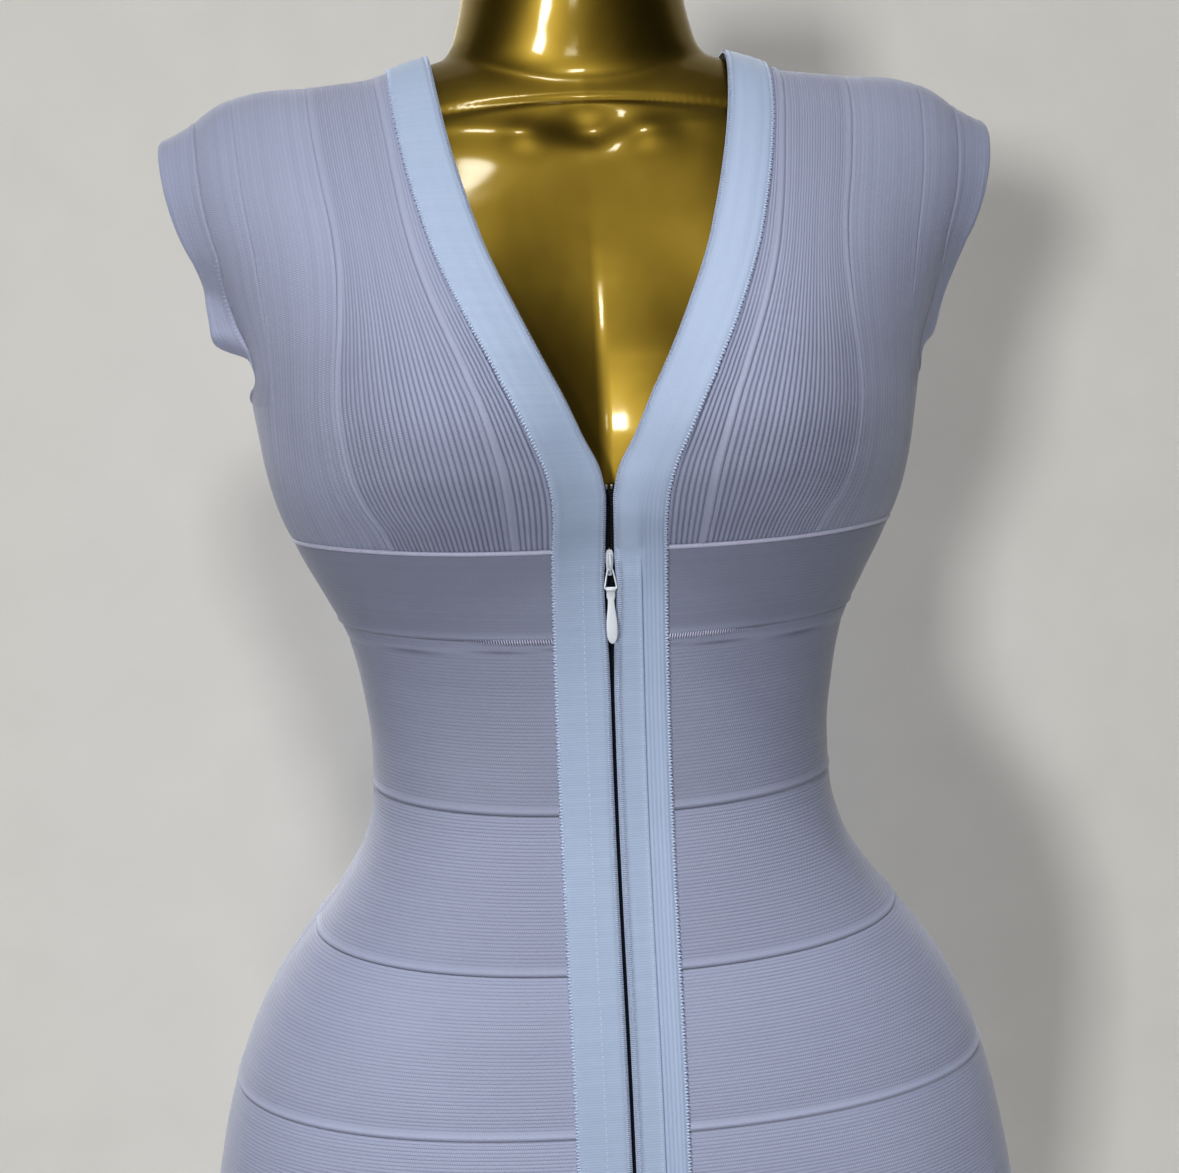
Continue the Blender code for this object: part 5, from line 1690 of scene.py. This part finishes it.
@dataclass
class Zip:
    """Coil chain on woven tape, its stops, slider, wire ring and drop."""

    tape_edge: float = 3.2 * MM
    tape_inner: float = 0.03 * MM
    lift: float = 0.2 * MM
    thick: float = 0.45 * MM
    tape_rows: int = 260
    tape_rib_pitch: float = 0.8 * MM
    coil_pitch: float = 1.5 * MM
    coil_radius: float = 0.42 * MM
    coil_length: float = 1.9 * MM
    coil_inset: float = 0.15 * MM
    top: float = 1.1885
    meet: float = 15.0 * MM
    part: float = 0.35 * MM
    slider_top: float = 1.1600
    chain_thick: float = 1.2 * MM
    stop_size: Three = (1.7 * MM, 1.6 * MM, 2.4 * MM)
    stop_round: float = 0.5 * MM
    stop_rise: float = 1.5 * MM
    stop_lift: float = 1.0 * MM
    plate: Three = (3.8 * MM, 0.8 * MM, 13.0 * MM)
    post: Pair = (1.0 * MM, 1.6 * MM)
    bridge_span: float = 8.8 * MM
    bridge_rise: float = 4.2 * MM
    bridge_size: Pair = (0.5 * MM, 0.42 * MM)
    ring_height: float = 1.1509
    ring_lift: float = 4.0 * MM
    ring_length: float = 9.5 * MM
    wire: float = 0.45 * MM
    # Half width, height and bend of the ring at its head and at its foot, in millimetres.
    ring_ends: tuple[Three, ...] = ((1.25, 0.0, 0.9), (3.05, -9.5, 1.5))
    # The barrel's places along its axis and its radii there, in millimetres.
    barrel: tuple[Pair, ...] = (
        (2.3, 0.75), (2.3, 1.05), (2.07, 1.25), (-2.07, 1.25), (-2.3, 1.05), (-2.3, 0.75))
    barrel_sides: int = 28
    # Depths below the ring's foot and the drop's half widths there, in millimetres.
    drop_depths: tuple[float, ...] = (1.2, 3.1, 5.6, 8.6, 13.6, 18.6, 22.6, 25.1, 26.1)
    drop_halves: tuple[float, ...] = (2.1, 2.2, 1.6, 1.8, 2.4, 2.7, 2.5, 1.7, 0.7)
    drop_taper: Pair = (27.2 * MM, 22.0 * MM)
    drop_thick: float = 0.65 * MM
    drop_least: float = 0.12 * MM
    drop_centre: float = 0.6 * MM
    drop_rings: int = 40
    drop_sides: int = 20

    def parting(self, z: Grid) -> Grid:
        """How far each half of the chain is parted at heights."""
        return self.part * np.clip((z - self.slider_top + self.meet) / self.meet, 0, 1)

    def build(self) -> None:
        """Make the tapes, coils, stops, slider, ring and drop."""
        self.tapes()
        self.coils()
        self.stops()
        self.slider()
        self.ring()
        self.drop()

    def tapes(self) -> None:
        """The two tapes that carry the coils."""
        z = np.linspace(self.top, HEM_HEIGHT + SEAM_GAP / 2, self.tape_rows)
        inner = self.tape_inner + self.parting(z)
        share = np.linspace(0, 1, 4)
        xs = inner[:, None] + (self.tape_edge - inner)[:, None] * share[None]
        points = BODY.at_reach(xs, z[:, None], 0.0)
        lift = self.lift + 0 * xs
        down = lengths_along(points, 0)
        skin = Skin(points, BODY.normals(points), lift + self.thick, lift,
                    down / self.tape_rib_pitch, xs, 1 + 0 * xs)
        for side, half in both(skin):
            name = "zip_tape_" + side
            piece = add_piece(name, shell(name, half), Finish.TAPE)
            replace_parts(piece, "zip_chain_" + side)

    def coils(self) -> None:
        """The coil's turns along each tape."""
        size = (self.coil_length, 2 * self.coil_radius, 1.6 * self.coil_radius)
        for side, sign in SIDES:
            z = np.arange(self.top - 1 * MM, HEM_HEIGHT + 2 * MM, -self.coil_pitch)
            z = z - (0 if sign > 0 else self.coil_pitch / 2)
            middle = self.coil_inset + self.parting(z) + self.coil_length / 2
            places = BODY.at_reach(middle, z, 0.0)
            out = BODY.normals(places)
            places = places + out * (self.lift + self.thick + self.coil_radius * 0.7)
            parts = [on_side(sign, bead(place, np.array([1.0, 0, 0]), away, size))
                     for place, away in zip(places, out)]
            small_piece("zip_coil_" + side, parts, Finish.COIL)

    def stops(self) -> None:
        """Bent metal clips at the chain's top."""
        reach = self.part + SEAM_GAP + self.stop_size[0] / 2
        for side, sign in SIDES:
            at = BODY.front_frame(self.top + self.stop_rise, self.stop_lift)
            at = at @ Matrix.Translation((sign * reach, 0, 0))
            mesh = rounded_box(self.stop_size, self.stop_round, at)
            piece = add_piece("zip_clip_" + side, mesh, Finish.STEEL)
            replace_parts(piece, "zip_stop_" + side)

    def slider(self) -> None:
        """The slider's body with its bridge."""
        middle = self.slider_top - self.plate[2] / 2
        at = BODY.front_frame(middle, 0.0)
        low = self.lift - SEAM_GAP - self.plate[1] / 2
        high = self.lift + self.chain_thick + SEAM_GAP + self.plate[1] / 2
        build = bmesh.new()
        for lift in (low, high):
            shield(build, self.plate, at @ Matrix.Translation((0, lift, 0)))
        wide, tall = self.post
        post = Matrix.Translation((0, (high + low) / 2, self.plate[2] / 2 - tall))
        add_box(build, (wide, high - low, tall), at @ post)
        mesh = smoothed(bpy.data.meshes.new("zip_slider_body"), 45.0, build)
        angles = np.linspace(-0.05, math.pi + 0.05, 28)
        arch = np.stack([0 * angles, high + self.bridge_rise * np.sin(angles),
                         self.bridge_span / 2 * np.cos(angles)], axis=1)
        turn = np.array(at.to_3x3())
        arch = arch @ turn.T + np.array(at.translation)
        body = add_piece("zip_slider_body", mesh, Finish.ENAMEL)
        small_piece("zip_slider_bridge", [tube(arch, turn[:, 0], self.bridge_size, 12)],
                    Finish.ENAMEL)
        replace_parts(body, "zip_slider")

    def axis(self) -> Grid:
        """A point on the ring's own axis."""
        return np.array(BODY.front_frame(self.ring_height, self.ring_lift).translation)

    def ring(self) -> None:
        """The wire ring that hangs in the bridge."""
        (top, head, bend), (wide, foot, turn) = self.ring_ends
        corners = np.array([[-top, 0, head], [top, 0, head], [wide, 0, foot],
                            [-wide, 0, foot]]) * MM
        path = []
        for k, cut in enumerate((bend, bend, turn, turn)):
            here, last, after = corners[k], corners[k - 1], corners[(k + 1) % 4]
            start = here + unit(last - here) * cut * MM
            end = here + unit(after - here) * cut * MM
            for t in np.linspace(0, 1, 7):
                path.append((1 - t) ** 2 * start + 2 * t * (1 - t) * here + t * t * end)
        points, faces = tube(np.array(path), np.array([0, 1.0, 0]), (self.wire, self.wire), 12,
                             closed=True)
        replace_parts(small_piece("zip_ring_wire", [(points + self.axis(), faces)],
                                Finish.ENAMEL, PULL_RING), "zip_ring")

    def drop(self) -> None:
        """The drop that hangs on the ring, with its barrel."""
        foot = self.axis() + np.array([0, 0, -self.ring_length])
        turns = np.linspace(0, 2 * math.pi, self.barrel_sides, endpoint=False)
        points = [[x * MM, r * MM * math.cos(t), r * MM * math.sin(t)]
                  for t in turns for x, r in self.barrel]
        faces = ring_faces(self.barrel_sides, len(self.barrel), closed=True)
        barrel = (np.array(points) + foot, [f[::-1] for f in faces])
        depths, halves = np.array(self.drop_depths) * MM, np.array(self.drop_halves) * MM
        at = np.linspace(depths[0], depths[-1], self.drop_rings)
        thick = self.drop_thick * ease(at, *self.drop_taper) ** 0.5
        turns = np.linspace(0, 2 * math.pi, self.drop_sides, endpoint=False)
        points = [[w * np.sign(math.cos(t)) * abs(math.cos(t)) ** 0.8,
                   self.drop_centre - d * np.sign(math.sin(t)) * abs(math.sin(t)) ** 0.6, -z]
                  for z, w, d in zip(at, cubic(depths, halves, at),
                                     np.maximum(thick, self.drop_least)) for t in turns]
        body = (np.array(points) + foot, ring_faces(self.drop_rings, self.drop_sides))
        mesh = merged("zip_drop", [barrel, body])
        build = bmesh.new()
        build.from_mesh(mesh)
        bmesh.ops.recalc_face_normals(build, faces=build.faces)
        smoothed(mesh, FOLD_ANGLE, build)
        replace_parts(add_piece("zip_drop", mesh, Finish.ENAMEL, PULL_TAB), "zip_pull")


def add_box(build: Build, size: Three, at: Matrix) -> list:
    """Add a closed box to a bmesh, and return its corners."""
    made = bmesh.ops.create_cube(build, size=1.0)
    bmesh.ops.transform(build, matrix=at @ Matrix.Diagonal((*size, 1.0)), verts=made["verts"])
    return made["verts"]


def rounded_box(size: Three, radius: float, at: Matrix
                ) -> Mesh:
    """A box with rounded edges."""
    build = bmesh.new()
    add_box(build, size, at)
    bmesh.ops.bevel(build, geom=build.edges[:], offset=radius, segments=3, affect="EDGES",
                    profile=0.5)
    return smoothed(bpy.data.meshes.new("rounded_box"), build=build)


def shield(build: Build, size: Three, at: Matrix) -> None:
    """Add a slider plate: broad shoulders above, a narrower foot below."""
    half = ((0.30, 0.50), (0.50, 0.36), (0.50, 0.02), (0.40, -0.30), (0.33, -0.46),
            (0.20, -0.50))
    outline = ((-0.30, 0.50), *half, *((-x, z) for x, z in half[:0:-1]))
    front, back = ([build.verts.new(at @ Vector((x * size[0], y * size[1], z * size[2])))
                    for x, z in outline] for y in (0.5, -0.5))
    faces = [build.faces.new(front), build.faces.new(list(reversed(back)))]
    for k in range(len(outline)):
        n = (k + 1) % len(outline)
        faces.append(build.faces.new((front[n], front[k], back[k], back[n])))
    bmesh.ops.recalc_face_normals(build, faces=faces)
    bmesh.ops.bevel(build, geom=list(faces[0].edges), offset=0.22 * MM, segments=2,
                    affect="EDGES", profile=0.5)


# ------------------------------------------------------------- form, room, camera
@dataclass
class DressForm:
    """The lacquered form, its pole and its base."""

    sides: int = 168
    levels: int = 96
    fan: float = 1.245
    fan_steps: int = 200
    crease_height: float = 1.376
    crease_fall: float = 1.25
    crease_width: float = 1.6 * MM
    crease_depth: float = 1.2 * MM
    # Distance from the middle, height, width, height across and rise of each.
    hollows: tuple[tuple[float, float, float, float, float], ...] = (
        (0.0, 1.3610, 15 * MM, 9 * MM, -3.6 * MM),
        (0.030, 1.3570, 13 * MM, 8 * MM, 2.4 * MM),
        (0.062, 1.3600, 22 * MM, 7 * MM, 1.5 * MM))
    bottom: float = 0.700

    def build(self) -> None:
        """Make the form's smooth skin and dress the stand's own solids."""
        turns = np.linspace(0, 2 * math.pi, self.sides, endpoint=False)
        z = np.linspace(self.bottom, self.fan - 0.004, self.levels)
        lifts = np.radians(np.concatenate([np.linspace(0, 80, self.fan_steps), [81.5, 84, 87]]))
        rays = np.stack([np.sin(turns), -np.cos(turns), 0 * turns], axis=1)
        up = np.array([0, 0, 1.0])
        low_origins = up * z[:, None, None] + 0 * rays[None]
        low_rays = np.broadcast_to(rays, low_origins.shape)
        high_rays = (rays[None] * np.cos(lifts)[:, None, None]
                     + up * np.sin(lifts)[:, None, None])
        high_origins = np.broadcast_to(up * self.fan, high_rays.shape)
        points = np.concatenate([BODY.cast(low_origins, low_rays, BODY.form_field),
                                 BODY.cast(high_origins, high_rays, BODY.form_field)])
        points = self.creased(points)
        rows = points.shape[0]
        index = np.arange(rows * self.sides).reshape(rows, self.sides)
        after = np.roll(index, -1, axis=1)
        quads = np.stack([index[:-1], after[:-1], after[1:], index[1:]], axis=2).reshape(-1, 4)
        faces = quads.tolist() + [index[0][::-1].tolist(), index[-1].tolist()]
        mesh = mesh_of(FORM_PIECE, points.reshape(-1, 3), faces, 35.0)
        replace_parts(add_piece(FORM_PIECE, mesh, Finish.GOLD), "form_torso")
        for name in ("stand_pole", "stand_socket", "stand_base"):
            solid = bpy.data.objects[name]
            for material_slot in solid.material_slots:
                material_slot.material = dressed(Finish.STEEL)
        log.info("form and stand dressed")

    def creased(self, points: Grid) -> Grid:
        """Press the line in front where the neck meets the chest."""
        front = ease(-points[..., 1], 0.0, 0.02) * (points[..., 2] > self.fan)
        wide = np.abs(points[..., 0])
        over = points[..., 2] - self.crease_height + self.crease_fall * wide ** 2
        dip = self.crease_depth * bump_of(over, 0.0, self.crease_width)
        for x, z, across, high, rise in self.hollows:
            dip = dip - rise * bump_of(wide, x, across) * bump_of(points[..., 2], z, high)
        out = BODY.normals(points, BODY.form_field)
        return points - out * (dip * front)[..., None]


# Name, degrees to the right of the front, degrees up, metres wide, watts.
LAMPS = (("high_lamp", -6.0, 65.0, 0.70, 42.0),
         ("front_lamp", 2.5, 28.0, 0.70, 58.0),
         ("low_lamp", -1.0, 1.0, 0.70, 18.0),
         ("left_lamp", -24.0, 1.0, 0.70, 96.0))
# Lamps whose image the lacquer doesn't carry: they stand for light off the room's walls.
UNMIRRORED = ("front_spot", "ceiling_spot")
# The same for the lamps behind, which reach the back of the dress only.
BACK_LAMPS = (("back_lamp_left", -150.0, 22.0, 1.20, 24.0),
              ("back_lamp_right", 165.0, 28.0, 1.20, 22.0))
# Name, degrees to the right of the front, degrees up, degrees of cone, watts.
SPOTS = (("ceiling_spot", -25.0, 71.0, 20.0, 40.0),
         ("front_spot", -8.0, 64.0, 20.0, 27.0))


@dataclass
class Room:
    """The pale floor that sweeps up into a wall, and the soft lights."""

    wall: float = 0.42
    bend: float = 0.25
    width: float = 6.0
    front: float = -4.0
    height: float = 3.2
    dusk: float = 0.02
    top_glow: float = 0.04
    backdrop: float = 0.50
    lamp_colour: str = "#FFFEFB"
    lamp_reach: float = 6.0
    back_reach: float = 3.0
    spot_reach: float = 2.4
    spot_size: float = 0.10
    bust: Three = (0.0, 0.0, 1.12)
    hips: Three = (0.0, -0.11, 0.93)

    def build(self) -> None:
        """Make the sweep, the lights and the sky."""
        profile = [(self.front, 0.0), (self.wall - self.bend, 0.0)]
        for turn in np.linspace(0, math.pi / 2, 13)[1:]:
            profile.append((self.wall - self.bend + self.bend * math.sin(turn),
                            self.bend - self.bend * math.cos(turn)))
        profile.append((self.wall, self.height))
        verts = [(x, y, z - 0.0005) for y, z in profile for x in (-self.width / 2,
                                                                 self.width / 2)]
        faces = [(2 * k, 2 * k + 1, 2 * k + 3, 2 * k + 2) for k in range(len(profile) - 1)]
        mesh = mesh_of("room_sweep", verts, faces)
        mesh.materials.append(dressed(Finish.WALL))
        sweep = bpy.data.objects.new("room_sweep", mesh)
        bpy.context.scene.collection.objects.link(sweep)
        sweep.visible_shadow = False
        self.sky()
        for lamps, reach in ((LAMPS, self.lamp_reach), (BACK_LAMPS, self.back_reach)):
            for name, turn, rise, side, power in lamps:
                light = bpy.data.lights.new(name, "AREA")
                light.shape, light.size = "SQUARE", side
                self.hang(light, self.bust, turn, rise, reach, power)
        for name, turn, rise, cone, power in SPOTS:
            light = bpy.data.lights.new(name, "SPOT")
            light.spot_size, light.spot_blend = math.radians(cone), 1.0
            light.shadow_soft_size = self.spot_size
            self.hang(light, self.hips, turn, rise, self.spot_reach, power)
        view = bpy.context.scene.view_settings
        view.view_transform, view.look = "Standard", "High Contrast"

    def sky(self) -> None:
        """A dim soft room, a little brighter above."""
        world = bpy.data.worlds.new("soft_room")
        world.use_nodes = True
        tree = world.node_tree
        ray = node(tree, "ShaderNodeTexCoord").outputs["Generated"]
        part = node(tree, "ShaderNodeSeparateXYZ", {0: ray}).outputs
        above = sums(tree, "POWER", sums(tree, "MAXIMUM", part[2], 0.0), 1.5)
        light = sums(tree, "ADD", sums(tree, "MULTIPLY", above, self.top_glow), self.dusk)
        seen = node(tree, "ShaderNodeLightPath").outputs["Is Camera Ray"]
        light = sums(tree, "ADD", light, sums(tree, "MULTIPLY", seen, self.backdrop))
        back = tree.nodes["Background"]
        back.inputs[0].default_value = srgb("#F4F5F8")
        tree.links.new(light, back.inputs[1])
        bpy.context.scene.world = world

    def hang(self, light: bpy.types.Light, aim_at: Three, turn: float,
             rise: float, reach: float, power: float) -> None:
        """Hang a light round the dress and aim it.

        Args:
            light: The light.
            aim_at: The point that it is aimed at.
            turn: Degrees to the right of the front, seen from the front.
            rise: Degrees above the level of that point.
            reach: Metres from that point.
            power: Watts.
        """
        a, e = math.radians(turn), math.radians(rise)
        away = Vector((math.sin(a) * math.cos(e), -math.cos(a) * math.cos(e), math.sin(e)))
        light.energy = power
        light.color = srgb(self.lamp_colour)[:3]
        lamp = bpy.data.objects.new(light.name, light)
        lamp.location = Vector(aim_at) + away * reach
        lamp.rotation_euler = (-away).to_track_quat("-Z", "Y").to_euler()
        lamp.visible_glossy = light.name not in UNMIRRORED
        bpy.context.scene.collection.objects.link(lamp)


@dataclass
class View:
    """The camera: close in front of the bodice, a little to the left and above."""

    azimuth: float = -4.5
    pitch: float = -6.52
    roll: float = -2.15
    distance: float = 0.905
    offset: float = -0.0023
    eye: float = 1.2344
    lens: float = 52.19

    def build(self) -> None:
        """Place the camera and make it the scene's own."""
        a, p, r = (math.radians(v) for v in (self.azimuth, self.pitch, self.roll))
        ahead = Vector((-math.sin(a) * math.cos(p), math.cos(a) * math.cos(p), math.sin(p)))
        right = Vector((math.cos(a), math.sin(a), 0.0))
        up = right.cross(ahead)
        turned_right = right * math.cos(r) + up * math.sin(r)
        turned_up = up * math.cos(r) - right * math.sin(r)
        data = bpy.data.cameras.new("view")
        data.lens, data.sensor_width = self.lens, 36.0
        data.clip_start = 0.02
        eye = bpy.data.objects.new("view", data)
        place = Matrix((turned_right, turned_up, -ahead)).transposed().to_4x4()
        place.translation = (math.sin(a) * self.distance + self.offset,
                             -math.cos(a) * self.distance, self.eye)
        eye.matrix_world = place
        bpy.context.scene.collection.objects.link(eye)
        bpy.context.scene.camera = eye


def main() -> None:
    """Build the camera, the room, the form and the dress, in order."""
    logging.basicConfig(level=logging.INFO, format="%(name)s: %(message)s")
    View().build()
    Room().build()
    DressForm().build()
    StripRows().build()
    Bodice().build()
    FrontBands().build()
    BackNeck().build()
    CapSleeves().build()
    Zip().build()
    Stitching().build()
    log.info("size written")


if __name__ == "__main__":
    main()
